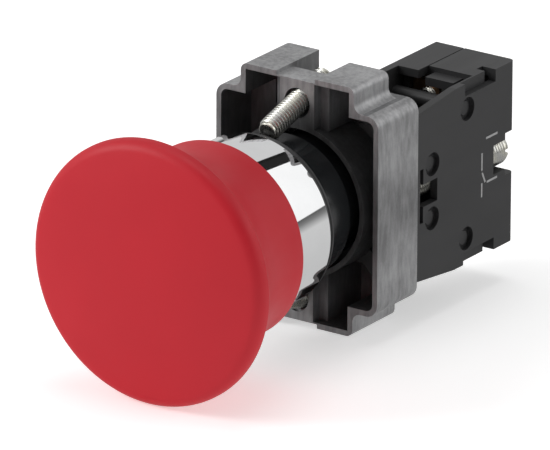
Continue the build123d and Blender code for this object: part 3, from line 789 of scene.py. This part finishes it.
class ThreadTree(Tree):
    """A threaded rod along Y: a grid wrapped round the axis, with its radius cut by the thread."""

    CREST = 0.08
    ROOT = 0.42
    ALONG_TURN = 10
    ROUND = 49

    def __init__(self) -> None:
        """Builds the tree. Its pattern is worked out, so it needs no random seed."""
        super().__init__("thread", ("Length", "Radius", "Depth", "Pitch", "Runout"), ("Along", "Round"))
        graph, given = self.graph, self.inputs
        grid = graph.add(
            "GeometryNodeMeshGrid",
            {
                "Size X": given["Length"],
                "Size Y": 2 * math.pi,
                "Vertices X": given["Along"],
                "Vertices Y": given["Round"],
            },
        ).outputs["Mesh"]
        position = graph.add("GeometryNodeInputPosition").outputs[0]
        spot = graph.add("ShaderNodeSeparateXYZ", {0: position}).outputs
        along = graph.math("ADD", spot["X"], graph.math("MULTIPLY", given["Length"], 0.5))
        turn = spot["Y"]
        phase = graph.math(
            "SUBTRACT", graph.math("DIVIDE", along, given["Pitch"]), graph.math("DIVIDE", turn, 2 * math.pi)
        )
        saw = graph.math("ABSOLUTE", graph.math("SUBTRACT", graph.math("FRACT", phase), 0.5))
        flank = {0: saw, 1: self.CREST, 2: self.ROOT, 3: 1.0, 4: 0.0}
        groove = graph.add("ShaderNodeMapRange", flank).outputs[0]
        left = graph.math("SUBTRACT", given["Length"], along)
        edge = graph.math("DIVIDE", graph.math("MINIMUM", along, left), given["Runout"], clamp=True)
        depth = graph.math("MAXIMUM", groove, graph.math("SUBTRACT", 1.0, edge))
        radius = graph.math("SUBTRACT", given["Radius"], graph.math("MULTIPLY", depth, given["Depth"]))
        x = graph.math("MULTIPLY", radius, graph.math("COSINE", turn))
        z = graph.math("MULTIPLY", radius, graph.math("SINE", turn))
        place = graph.add("ShaderNodeCombineXYZ", {0: x, 1: along, 2: z}).outputs[0]
        wrapped = graph.add("GeometryNodeSetPosition", {"Geometry": grid, "Position": place}).outputs[0]
        joined = {"Geometry": wrapped, "Distance": 0.001}
        self.close(graph.add("GeometryNodeMergeByDistance", joined).outputs[0])

    def rod(
        self, length: float, radius: float, depth: float, pitch: float, finish: Finish, runout: float = 0.5
    ) -> bmesh.types.BMesh:
        """Makes one threaded rod from y = 0 to y = length, closed at both ends.

        Args:
            length: of the thread.
            radius: over the crests.
            depth: of the thread.
            pitch: of the thread.
            finish: its finish.
            runout: length over which the thread ends.

        Returns:
            The rod as a bmesh in millimetres.
        """
        sizes = {"Length": length, "Radius": radius, "Depth": depth, "Pitch": pitch, "Runout": runout}
        counts = {"Along": int(self.ALONG_TURN * length / pitch) + 2, "Round": self.ROUND}
        work = self.grow(sizes | counts, finish)
        bmesh.ops.remove_doubles(work, verts=work.verts, dist=0.001)
        bmesh.ops.holes_fill(work, edges=[edge for edge in work.edges if edge.is_boundary], sides=0)
        return work


class SpringTree(Tree):
    """A compression spring along Z: a helix swept with round wire and closed at its ends."""

    WIRE_SIDES = 12
    TURN_POINTS = 28
    PLAY = 0.02

    def __init__(self) -> None:
        """Builds the tree. Its pattern is worked out, so it needs no random seed."""
        super().__init__("spring", ("Height", "Radius", "Wire", "Turns"), ("Points",))
        graph, given = self.graph, self.inputs
        spiral = graph.add(
            "GeometryNodeCurveSpiral",
            {
                "Resolution": given["Points"],
                "Rotations": given["Turns"],
                "Start Radius": given["Radius"],
                "End Radius": given["Radius"],
                "Height": given["Height"],
            },
        ).outputs[0]
        ring = {"Resolution": self.WIRE_SIDES, "Radius": given["Wire"]}
        section = graph.add("GeometryNodeCurvePrimitiveCircle", ring).outputs[0]
        swept = graph.add(
            "GeometryNodeCurveToMesh", {"Curve": spiral, "Profile Curve": section, "Fill Caps": True}
        ).outputs[0]
        self.close(swept)

    def spring(self, coil: Coil, centre: Point, finish: Finish) -> bmesh.types.BMesh:
        """Makes one spring along Y.

        Args:
            coil: y of its front and rear seats, radius to the middle of the wire, the wire's diameter
                and the number of turns.
            centre: x and z of its axis.
            finish: its finish.

        Returns:
            The spring as a bmesh in millimetres.
        """
        front, rear, radius, wire, turns = coil
        height = rear - front - wire - 2 * self.PLAY
        sizes = {"Height": height, "Radius": radius, "Wire": wire / 2, "Turns": turns}
        work = self.grow(sizes | {"Points": self.TURN_POINTS}, finish)
        shift = Matrix.Translation((centre[0], front + wire / 2 + self.PLAY, centre[1]))
        bmesh.ops.transform(work, matrix=shift @ Matrix.Rotation(-math.pi / 2, 4, "X"), verts=work.verts)
        return work


# ---------------------------------------------------------------- sub-assemblies


@dataclass
class Head:
    """The mushroom cap and what moves with it."""

    body: str = "head"
    radius: float = 20.0
    apex: float = -31.7
    rim_front: float = -29.0
    rim_round: float = 2.0
    rim_rear_round: float = 0.5
    rim_rear: float = -26.9
    skirt_radius: float = 14.95
    flare_front: float = -12.9
    skirt_rear: float = -10.7
    skirt_round: float = 0.4
    wall: float = 1.3
    ceiling: float = -26.2
    boss_radius: float = 8.6
    boss_rear: float = -21.2
    stud_bore: float = 4.0
    stud_end: float = -25.6
    segments: int = 192
    dome_steps: int = 40
    rim_steps: int = 12
    edge_steps: int = 6
    flare_steps: int = 32
    plain: dict[str, Finish] = field(
        default_factory=lambda: {
            "stem": STEEL,
            "stem_circlip": SPRING,
            "pusher_plate": NATURAL,
            "pusher_screw": ZINC,
        }
    )

    def outline(self) -> list[Point]:
        """Works out the cap's section.

        Returns:
            Closed outline of (radius, y).
        """
        drop = self.rim_front - self.apex
        dome = (self.radius**2 + drop**2) / (2 * drop)
        dome_y = self.apex + dome
        inner = self.radius - self.rim_round
        round_y = dome_y - math.sqrt((dome - self.rim_round) ** 2 - inner**2)
        meet = math.atan2(inner, dome_y - round_y)
        points: list[Point] = [(0.0, self.apex)]
        for step in range(1, self.dome_steps + 1):
            turn = meet * step / self.dome_steps
            points.append((dome * math.sin(turn), dome_y - dome * math.cos(turn)))
        for step in range(1, self.rim_steps + 1):
            turn = meet + (math.pi / 2 - meet) * step / self.rim_steps
            out, back = self.rim_round * math.sin(turn), self.rim_round * math.cos(turn)
            points.append((inner + out, round_y - back))
        reach, rise = self.radius - self.skirt_radius, self.flare_front - self.rim_rear
        flare = (reach**2 + rise**2) / (2 * reach)
        flare_x = self.skirt_radius + flare
        small = self.rim_rear_round
        small_x = self.radius - small
        small_y = self.flare_front - math.sqrt((flare + small) ** 2 - (flare_x - small_x) ** 2)
        end = math.atan2(self.flare_front - small_y, flare_x - small_x)
        for step in range(self.edge_steps + 1):
            turn = (math.pi / 2 - end) * step / self.edge_steps
            points.append((small_x + small * math.cos(turn), small_y + small * math.sin(turn)))
        for step in range(1, self.flare_steps + 1):
            turn = end * (1 - step / self.flare_steps)
            points.append((flare_x - flare * math.cos(turn), self.flare_front - flare * math.sin(turn)))
        skirt = [
            (self.skirt_radius, self.flare_front),
            (self.skirt_radius, self.skirt_rear),
            (self.skirt_radius - self.wall, self.skirt_rear),
            (self.skirt_radius - self.wall, self.ceiling),
            (self.boss_radius, self.ceiling),
            (self.boss_radius, self.boss_rear),
            (self.stud_bore, self.boss_rear),
            (self.stud_bore, self.stud_end),
            (0.0, self.stud_end),
        ]
        rounds = {1: self.skirt_round, 2: 0.2, 3: 0.6, 4: 0.6, 5: 0.3, 6: 0.2}
        return points + Mesher.rounded(skirt, rounds)[1:]

    def build(self) -> None:
        """Builds the cap and dresses the hidden nodes of the head."""
        work = bmesh.new()
        Mesher.lathe(work, self.outline(), self.segments)
        cap = Mesher.finish("mushroom_cap_skin", work, RED, 40)
        hand_over(cap, self.body, RED, "mushroom_cap")
        dress_nodes(self.plain)


@dataclass
class Bezel:
    """Chrome drum, dark neck and spigot, gasket, seal, washer and return spring."""

    body: str = "housing"
    drum_radius: float = 13.27
    drum_front: float = -19.5
    drum_rear: float = -1.5
    drum_round: float = 0.6
    bore: float = 11.2
    floor: float = -6.0
    neck_radius: float = 10.95
    neck_rear: float = 7.1
    neck_chamfer: float = 0.35
    spigot_radius: float = 9.2
    spigot_rear: float = 18.6
    spigot_bore: float = 7.6
    groove_radius: float = 8.5
    groove_front: float = 14.5
    groove_rear: float = 15.9
    guide_radius: float = 4.05
    guide_rear: float = 4.0
    seal_bore: float = 6.05
    seal_rear: float = -4.3
    key: tuple[Triple, Triple] = ((-1.45, 0.1, 10.7), (1.45, 1.0, 11.9))
    entry_width: float = 2.5
    entry_angles: tuple[float, ...] = (75.0, 195.0, 315.0)
    gasket_radius: float = 12.9
    gasket_play: float = 0.05
    gasket_rear: float = 0.0
    gasket_groove: tuple[float, float, float, float] = (-1.0, -0.85, -0.65, -0.5)
    gasket_groove_depth: float = 0.12
    spring: Coil = (-20.0, -6.8, 7.0, 1.0, 5.0)
    head_travel: float = 5.6
    drum_segments: int = 192
    segments: int = 160

    def build(self, springs: SpringTree) -> None:
        """Builds the bezel's pieces.

        Args:
            springs: the spring tree.
        """
        self.build_drum()
        self.build_neck()
        self.build_gasket()
        self.build_spring(springs)
        dress_nodes({"stem_seal": RUBBER, "spring_washer": STEEL})

    def build_drum(self) -> None:
        """Builds the chrome drum."""
        outline = [
            (self.bore, self.drum_front),
            (self.drum_radius, self.drum_front),
            (self.drum_radius, self.drum_rear),
            (self.guide_radius, self.drum_rear),
            (self.guide_radius, self.seal_rear),
            (self.seal_bore, self.seal_rear),
            (self.seal_bore, self.floor),
            (self.bore, self.floor),
        ]
        work = bmesh.new()
        rounds = {0: 0.2, 1: self.drum_round, 2: 0.12, 7: 0.3}
        Mesher.lathe(work, Mesher.rounded(outline, rounds), self.drum_segments)
        drum = Mesher.finish("bezel_drum", work, CHROME)
        hand_over(drum, self.body, CHROME, "bezel_body")

    def build_neck(self) -> None:
        """Builds the neck and the spigot, with the key and the entries for the lock ring's lugs."""
        outline = [
            (self.guide_radius, self.drum_rear),
            (self.neck_radius, self.drum_rear),
            (self.neck_radius, self.neck_rear),
            (self.spigot_radius, self.neck_rear),
            (self.spigot_radius, self.groove_front),
            (self.groove_radius, self.groove_front),
            (self.groove_radius, self.groove_rear),
            (self.spigot_radius, self.groove_rear),
            (self.spigot_radius, self.spigot_rear),
            (self.spigot_bore, self.spigot_rear),
            (self.spigot_bore, self.guide_rear),
            (self.guide_radius, self.guide_rear),
        ]
        work = bmesh.new()
        rounds = {2: self.neck_chamfer, 3: 0.15, 4: 0.08, 7: 0.08, 8: 0.2, 9: 0.2, 10: 0.3}
        Mesher.lathe(work, Mesher.rounded(outline, rounds, 4), self.segments)
        neck = Mesher.finish("bezel_neck", work, DARK_NECK)
        half = self.entry_width / 2
        for angle in self.entry_angles:
            turn = Matrix.Rotation(-math.radians(angle), 4, "Y")
            low = (self.groove_radius, self.groove_rear - 0.1, -half)
            Mesher.cut(neck, low, (self.spigot_radius + 1, self.spigot_rear + 1, half), turn)
        neck.data.set_sharp_from_angle(angle=math.radians(32))
        hand_over(neck, self.body, DARK_NECK, "bezel_body")
        work = bmesh.new()
        Mesher.block(work, *self.key, bevel=0.12)
        key = Mesher.finish("neck_key", work, DARK_NECK)
        hand_over(key, self.body, DARK_NECK, "bezel_body")

    def build_gasket(self) -> None:
        """Builds the gasket with rounded lips and a shallow groove in its rim."""
        inner, outer = self.neck_radius + self.gasket_play, self.gasket_radius
        sunk = outer - self.gasket_groove_depth
        opening, floor_front, floor_rear, closing = self.gasket_groove
        outline = [
            (inner, self.drum_rear),
            (outer, self.drum_rear),
            (outer, opening),
            (sunk, floor_front),
            (sunk, floor_rear),
            (outer, closing),
            (outer, self.gasket_rear),
            (inner, self.gasket_rear),
        ]
        work = bmesh.new()
        Mesher.lathe(work, Mesher.rounded(outline, {1: 0.15, 6: 0.25, 7: 0.15}), self.segments)
        gasket = Mesher.finish("gasket_ring", work, RUBBER)
        hand_over(gasket, self.body, RUBBER, "panel_gasket")

    def build_spring(self, springs: SpringTree) -> None:
        """Builds the return spring.

        Args:
            springs: the spring tree.
        """
        work = springs.spring(self.spring, (0.0, 0.0), SPRING)
        coil = Mesher.finish("return_spring_coil", work, SPRING)
        hand_over(coil, self.body, SPRING, "return_spring")
        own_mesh(coil)


@dataclass
class Collar:
    """Die-cast collar, its two inclined clamp screws and the bayonet ring."""

    body: str = "housing"
    front: float = 9.1
    web_front: float = 16.9
    inner_half_width: float = 13.4
    inner_half_height: float = 14.6
    tower_inner_width: float = 9.08
    tower_inner_height: float = 18.39
    ring_radius: float = 11.8
    edge: float = 0.14
    screw_height: float = 15.0
    tilt: float = 16.0
    screw_front: float = -8.0
    screw_rear: float = 7.4
    screw_radius: float = 1.75
    point_radius: float = 1.4
    point_length: float = 0.5
    pitch: float = 0.6
    thread_depth: float = 0.3
    tab_tip: float = 15.25
    tower_floor_tall: float = 19.35
    tower_floor_short: float = 17.25
    pillar_rear: float = 13.5
    channel_side: float = 3.75
    channel_floor: float = 12.25
    slot_width: float = 0.7
    slot_depth: float = 1.1

    def build(self, threads: ThreadTree) -> None:
        """Builds the collar's pieces.

        Args:
            threads: the thread tree.
        """
        self.build_casting()
        for side, body in ((Side.UPPER, "upper_clamp_screw"), (Side.LOWER, "lower_clamp_screw")):
            self.build_screw(threads, side, body)
        ring = Mesher.eased("lock_ring", "lock_ring_plate", 0.08, BLACKED)
        ring.data.materials.append(SPRING.material())
        for face in ring.data.polygons:
            if math.hypot(face.center.x, face.center.z) > self.tab_tip * MM:
                face.material_index = 1
        hand_over(ring, "lock_ring", SPRING, "lock_ring")

    def inside(self, spot: Vector, normal: Vector) -> bool:
        """Tells whether a face of the casting lies in its hollow front.

        Args:
            spot: the face's middle, in millimetres.
            normal: the face's normal.

        Returns:
            True for a face of the hollow.
        """
        wide, high = abs(spot.x), abs(spot.z)
        if normal.y < -0.9 and abs(spot.y - self.web_front) < 0.05:
            return True
        rear = self.web_front
        if high > self.inner_half_height:
            rear = self.tower_floor_tall if spot.x * spot.z < 0 else self.tower_floor_short
        if not self.front + 0.2 < spot.y < rear + 0.05:
            return False
        if wide < self.channel_side and high > self.channel_floor and spot.y > self.pillar_rear - 0.1:
            return False
        if math.hypot(spot.x, spot.z) < self.ring_radius - 0.2:
            return False
        in_sides = wide < self.inner_half_width + 0.02 and high < self.inner_half_height + 0.02
        in_towers = wide < self.tower_inner_width + 0.02 and high < self.tower_inner_height + 0.02
        return in_sides or in_towers

    def build_casting(self) -> None:
        """Builds the casting with eased edges, a painted highlight on them and a painted shade in its hollow.
        """
        # The bevelled edges take the brighter copy of the casting: a painted highlight.
        casting = Mesher.eased("mounting_collar", "collar_casting", self.edge, CASTING, CASTING_EDGE_HIGHLIGHT)
        casting.data.materials.append(CASTING_HOLLOW_SHADE.material())
        # Faces of the hollow take the darker copy: painted shade where the recess lies in shadow.
        for face in casting.data.polygons:
            if self.inside(face.center / MM, face.normal):
                face.material_index = 2
        hand_over(casting, self.body, CASTING, "mounting_collar")

    def build_screw(self, threads: ThreadTree, side: Side, body: str) -> None:
        """Builds one clamp screw: thread, dog point and slotted tail.

        Args:
            threads: the thread tree.
            side: upper or lower.
            body: the body it rides on.
        """
        start = self.screw_front + self.point_length
        work = threads.rod(
            self.screw_rear - start, self.screw_radius, self.thread_depth, self.pitch, ZINC, 0.35
        )
        bmesh.ops.translate(work, vec=(0, start, 0), verts=work.verts)
        point = [
            (0.0, self.screw_front),
            (self.point_radius, self.screw_front),
            (self.point_radius, start + 0.2),
            (0.0, start + 0.2),
        ]
        Mesher.lathe(work, Mesher.rounded(point, {1: 0.2}), 48)
        turn = Matrix.Rotation(side.value * math.radians(self.tilt), 4, "X")
        place = Matrix.Translation((0, self.front, side.value * self.screw_height)) @ turn
        bmesh.ops.transform(work, matrix=place, verts=work.verts)
        name = f"clamp_screw_{side.name.lower()}"
        screw = Mesher.finish(f"{name}_thread", work, ZINC, 50)
        half, reach = self.slot_width / 2, self.screw_radius + 0.5
        low = (-reach, self.screw_rear - self.slot_depth, -half)
        high = (reach, self.screw_rear + 1, half)
        metres = Matrix.Translation((0, self.front * MM, side.value * self.screw_height * MM)) @ turn
        Mesher.cut(screw, low, high, metres)
        hand_over(screw, body, ZINC, name)


@dataclass
class ContactBlock:
    """The two shells, the fixing screw, the contacts and the terminals."""

    body: str = "housing"
    side_x: float = 14.15
    edge: float = 0.12
    fixing_x: float = 11.25
    fixing_radius: float = 1.45
    fixing_front: float = 17.0
    head_radius: float = 2.5
    head_front: float = 38.5
    head_rear: float = 44.7
    ribs: int = 9
    rib_depth: float = 0.09
    thread_depth: float = 0.26
    thread_pitch: float = 0.5
    head_slot_width: float = 0.8
    head_slot_depth: float = 1.2
    print_depth: float = 0.015
    print_width: float = 0.34
    terminal_x: float = 5.2
    terminal_height: float = 9.4
    terminal_front: float = 34.85
    terminal_head: tuple[float, float] = (38.39, 40.39)
    terminal_radius: float = 1.45
    terminal_head_radius: float = 2.5
    terminal_slot: tuple[float, float] = (0.7, 1.0)
    plunger_spring: Coil = (33.19, 43.9, 1.9, 0.4, 7.0)
    contact_spring: Coil = (24.57, 30.77, 0.95, 0.3, 6.0)
    head_travel: float = 5.6
    bridge_travel: float = 3.1

    def build(self, threads: ThreadTree, springs: SpringTree) -> None:
        """Builds the block's pieces.

        Args:
            threads: the thread tree.
            springs: the spring tree.
        """
        for node, name in (("block_housing", "left_shell"), ("block_cover", "right_shell")):
            shell = Mesher.eased(node, name, self.edge, BLACK)
            hand_over(shell, self.body, BLACK, node)
        self.build_fixing(threads)
        self.build_print()
        for side in Side:
            self.build_terminal(threads, side)
        self.build_springs(springs)
        dress_nodes(
            {
                "block_plunger": NATURAL,
                "contact_bridge": COPPER,
                "bridge_tips": SILVER,
                "fixed_contact_upper": COPPER,
                "fixed_contact_lower": COPPER,
                "fixed_tip_upper": SILVER,
                "fixed_tip_lower": SILVER,
                "clamp_washer_upper": ZINC,
                "clamp_washer_lower": ZINC,
            }
        )

    def build_fixing(self, threads: ThreadTree) -> None:
        """Builds the long fixing screw with its ribbed barrel.

        Args:
            threads: the thread tree.
        """
        length = self.head_front - self.fixing_front
        work = threads.rod(length, self.fixing_radius, self.thread_depth, self.thread_pitch, ZINC, 0.3)
        bmesh.ops.translate(work, vec=(self.fixing_x, self.fixing_front, 0), verts=work.verts)
        face = self.head_front - 0.1
        barrel: list[Point] = [(0.0, face), (self.head_radius - 0.15, face)]
        span = (self.head_rear - 0.7 - self.head_front) / self.ribs
        for rib in range(self.ribs):
            start = self.head_front + rib * span
            barrel.append((self.head_radius - self.rib_depth, start))
            barrel.append((self.head_radius, start + 0.25 * span))
            barrel.append((self.head_radius, start + 0.8 * span))
        barrel += [
            (self.head_radius, self.head_rear - 0.6),
            (self.head_radius - 0.14, self.head_rear - 0.22),
            (self.head_radius - 0.5, self.head_rear),
            (0.0, self.head_rear),
        ]
        Mesher.lathe(work, barrel, 72, (self.fixing_x, 0.0))
        screw = Mesher.finish("fixing_screw", work, ZINC, 40)
        half, reach = self.head_slot_width / 2, self.head_radius + 0.5
        low = (self.fixing_x - reach, self.head_rear - self.head_slot_depth, -half)
        Mesher.cut(screw, low, (self.fixing_x + reach, self.head_rear + 1, half))
        hand_over(screw, self.body, ZINC, "block_fixing_screw")

    def build_print(self) -> None:
        """Builds the printed symbol of a normally open contact, as thin strokes of ink."""
        strokes: list[tuple[Point, Point]] = [
            ((36.6, 1.85), (36.6, -0.9)),
            ((36.6, -0.9), (37.45, -2.6)),
            ((38.1, -2.85), (40.5, -2.85)),
            ((37.8, 4.05), (40.5, 4.05)),
            ((36.6, -2.85), (36.6, -4.7)),
        ]
        work = bmesh.new()
        for start, end in strokes:
            a, b = Vector(start), Vector(end)
            along = (b - a).normalized() * self.print_width / 2
            across = Vector((-along.y, along.x))
            corners = [a - along + across, b + along + across, b + along - across, a - along - across]
            rear = [work.verts.new((self.side_x - 0.01, c.x, c.y)) for c in corners]
            front = [work.verts.new((self.side_x + self.print_depth, c.x, c.y)) for c in corners]
            work.faces.new(front)
            work.faces.new(rear[::-1])
            for number in range(4):
                following = (number + 1) % 4
                work.faces.new([front[number], rear[number], rear[following], front[following]])
        ink = Mesher.finish("contact_symbol", work, PRINT)
        hand_over(ink, self.body, PRINT)

    def build_terminal(self, threads: ThreadTree, side: Side) -> None:
        """Builds one terminal screw.

        Args:
            threads: the thread tree.
            side: upper or lower.
        """
        front, rear = self.terminal_head
        height = side.value * self.terminal_height
        length = front - self.terminal_front
        work = threads.rod(length, self.terminal_radius, self.thread_depth, self.thread_pitch, ZINC, 0.25)
        bmesh.ops.translate(work, vec=(self.terminal_x, self.terminal_front, height), verts=work.verts)
        outline = [
            (0.0, front),
            (self.terminal_head_radius, front),
            (self.terminal_head_radius, rear),
            (0.0, rear),
        ]
        Mesher.lathe(work, Mesher.rounded(outline, {1: 0.15, 2: 0.45}), 64, (self.terminal_x, height))
        name = f"terminal_screw_{side.name.lower()}"
        screw = Mesher.finish(f"{name}_thread", work, ZINC, 40)
        width, depth = self.terminal_slot
        reach = self.terminal_head_radius + 0.5
        low = (self.terminal_x - reach, rear - depth, height - width / 2)
        Mesher.cut(screw, low, (self.terminal_x + reach, rear + 1, height + width / 2))
        hand_over(screw, f"{side.name.lower()}_terminal", ZINC, name)

    def build_springs(self, springs: SpringTree) -> None:
        """Builds the plunger's spring and the contact spring, which rides on the plunger.

        Args:
            springs: the spring tree.
        """
        centre = (self.terminal_x, 0.0)
        work = springs.spring(self.plunger_spring, centre, SPRING)
        coil = Mesher.finish("plunger_spring_coil", work, SPRING)
        hand_over(coil, self.body, SPRING, "plunger_spring")
        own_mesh(coil)
        work = springs.spring(self.contact_spring, centre, SPRING)
        coil = Mesher.finish("contact_spring_coil", work, SPRING)
        hand_over(coil, "plunger", SPRING, "contact_spring")
        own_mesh(coil)


def dress_nodes(finishes: dict[str, Finish]) -> None:
    """Gives CAD nodes that are kept their finishes.

    Args:
        finishes: node name to finish.
    """
    for node, finish in finishes.items():
        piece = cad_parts[node]
        for place in piece.material_slots:
            place.material = finish.material()
        LOG.info("node %s keeps its shape, finish %s", node, finish.name)


# ---------------------------------------------------------------- studio


@dataclass(frozen=True)
class SoftBox:
    """One square lamp aimed at the origin: its place and side in metres, and its power in watts."""

    name: str
    place: Triple
    side: float
    power: float


@dataclass
class Studio:
    """Pale floor, soft light and the camera."""

    floor_height: float = -20.05
    floor_half: float = 4.0
    azimuth: float = 34.429
    elevation: float = 20.392
    roll: float = 0.254
    distance: float = 1499.617
    shift_right: float = -4.28355
    shift_up: float = -4.22410
    aim: float = 11.14
    lens: float = 674.1
    fill: float = 0.42
    floor_colour: float = 0.93
    floor_glow: float = 0.46
    sky_stops: tuple[Point, ...] = (
        (0.0, 0.50),
        (0.33, 0.60),
        (0.45, 0.62),
        (0.505, 0.22),
        (0.540, 0.10),
        (0.543, 1.0),
        (0.8, 1.05),
    )
    behind_from: float = 0.15
    front_from: float = -0.1
    right_from: float = 0.1
    strip_turn: float = 93.7
    strip_half: float = 9.0
    strip_drop: float = 0.98
    left_turn: float = 98.0
    left_drop: float = 0.38
    low_drop: float = 0.55
    right_drop: float = 0.7
    lamps: tuple[SoftBox, ...] = (
        SoftBox("soft_box_left", (-1.0, -0.85, 0.75), 0.7, 9.5),
        SoftBox("soft_box_right", (1.1, 0.7, 0.5), 0.7, 1.8),
        SoftBox("soft_box_top", (-0.1, 0.2, 1.4), 0.8, 4.3),
    )

    def build(self) -> None:
        """Builds the whole studio."""
        self.build_floor()
        self.build_sky()
        self.build_lights()
        self.build_camera()

    def build_floor(self) -> None:
        """Builds the floor."""
        half, height = self.floor_half, self.floor_height * MM
        mesh = bpy.data.meshes.new("floor")
        flat = ((-half, -half), (half, -half), (half, half), (-half, half))
        corners = [(x, y, height) for x, y in flat]
        mesh.from_pydata(corners, [], [(0, 1, 2, 3)])
        material = bpy.data.materials.new("floor_paper")
        material.use_nodes = True
        shader = material.node_tree.nodes["Principled BSDF"]
        shader.inputs["Base Color"].default_value = (*[self.floor_colour] * 3, 1.0)
        shader.inputs["Roughness"].default_value = 0.9
        shader.inputs["Specular IOR Level"].default_value = 0.0
        shader.inputs["Emission Color"].default_value = (1.0, 1.0, 1.0, 1.0)
        shader.inputs["Emission Strength"].default_value = self.floor_glow
        mesh.materials.append(material)
        floor = bpy.data.objects.new("floor", mesh)
        bpy.context.scene.collection.objects.link(floor)
        floor.visible_glossy = False

    def build_sky(self) -> None:
        """Builds the room's light: pale, with a dark line at the horizon and a dark strip overhead."""
        world = bpy.data.worlds.new("room")
        bpy.context.scene.world = world
        world.use_nodes = True
        world.node_tree.nodes.clear()
        graph = Graph(world.node_tree)
        way = graph.add("ShaderNodeTexCoord").outputs["Generated"]
        parts = graph.add("ShaderNodeSeparateXYZ", {0: way}).outputs
        level = graph.math("ADD", graph.math("MULTIPLY", parts["Z"], 0.5), 0.5)
        ramp = graph.add("ShaderNodeValToRGB", {"Fac": level})
        stops, elements = self.sky_stops, ramp.color_ramp.elements
        elements[0].position, elements[1].position = stops[0][0], stops[-1][0]
        for spot, _ in stops[1:-1]:
            elements.new(spot)
        for element, (_, value) in zip(elements, stops):
            element.color = (value, value, value, 1.0)
        turn = graph.math("ARCTAN2", parts["Z"], parts["X"])
        behind = graph.math("GREATER_THAN", parts["Y"], self.behind_from)
        off = graph.math("ABSOLUTE", graph.math("SUBTRACT", turn, math.radians(self.strip_turn)))
        narrow = graph.math("LESS_THAN", off, math.radians(self.strip_half))
        strip = graph.math("MULTIPLY", narrow, behind)
        beyond = graph.math("GREATER_THAN", turn, math.radians(self.left_turn))
        left = graph.math("MULTIPLY", beyond, behind)
        front = graph.math("LESS_THAN", parts["Y"], self.front_from)
        low = graph.math("MULTIPLY", front, graph.math("LESS_THAN", parts["Z"], 0.0))
        right = graph.math("MULTIPLY", front, graph.math("GREATER_THAN", parts["X"], self.right_from))
        strength = ramp.outputs["Color"]
        for mask, drop in (
            (left, self.left_drop),
            (strip, self.strip_drop),
            (low, self.low_drop),
            (right, self.right_drop),
        ):
            strength = graph.math("MULTIPLY", strength, graph.dimmed(mask, drop))
        path = graph.add("ShaderNodeLightPath").outputs
        seen = path["Is Camera Ray"]
        strength = graph.math("MULTIPLY", strength, graph.dimmed(path["Is Diffuse Ray"], 1.0 - self.fill))
        lit = graph.add("ShaderNodeBackground", {"Color": (1.0, 1.0, 1.0, 1.0), "Strength": strength})
        plain = graph.add("ShaderNodeBackground", {"Color": (1.0, 1.0, 1.0, 1.0), "Strength": 1.0})
        mixed = graph.add("ShaderNodeMixShader", {0: seen, 1: lit.outputs[0], 2: plain.outputs[0]})
        graph.add("ShaderNodeOutputWorld", {0: mixed.outputs[0]})

    def build_lights(self) -> None:
        """Builds the soft boxes."""
        for box in self.lamps:
            light = bpy.data.lights.new(box.name, "AREA")
            light.shape, light.size, light.energy = "SQUARE", box.side, box.power
            lamp = bpy.data.objects.new(box.name, light)
            lamp.location = box.place
            lamp.rotation_mode = "QUATERNION"
            lamp.rotation_quaternion = (-Vector(box.place)).to_track_quat("-Z", "Y")
            lamp.visible_camera = False
            bpy.context.scene.collection.objects.link(lamp)

    def build_camera(self) -> None:
        """Builds the camera."""
        turn, rise, roll = (math.radians(value) for value in (self.azimuth, self.elevation, self.roll))
        back = Vector((math.sin(turn) * math.cos(rise), -math.cos(turn) * math.cos(rise), math.sin(rise)))
        right = Vector((math.cos(turn), math.sin(turn), 0.0))
        up = back.cross(right)
        leaned = right * math.cos(roll) + up * math.sin(roll)
        upright = up * math.cos(roll) - right * math.sin(roll)
        place = Vector((0, self.aim, 0)) + leaned * self.shift_right + upright * self.shift_up
        place += back * self.distance
        data = bpy.data.cameras.new("camera")
        data.sensor_width, data.lens = 36.0, self.lens
        data.clip_start, data.clip_end = 0.1, 20.0
        camera = bpy.data.objects.new("camera", data)
        basis = Matrix((leaned, upright, back)).transposed().to_4x4()
        camera.matrix_world = Matrix.Translation(place * MM) @ basis
        bpy.context.scene.collection.objects.link(camera)
        bpy.context.scene.camera = camera
        bpy.context.scene.view_settings.view_transform = "Standard"


def main() -> None:
    """Builds every sub-assembly in order."""
    logging.basicConfig(level=logging.INFO, format="%(name)s: %(message)s")
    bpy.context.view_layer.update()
    Studio().build()
    threads, springs = ThreadTree(), SpringTree()
    Head().build()
    Bezel().build(springs)
    Collar().build(threads)
    ContactBlock().build(threads, springs)


if __name__ == "__main__":
    main()
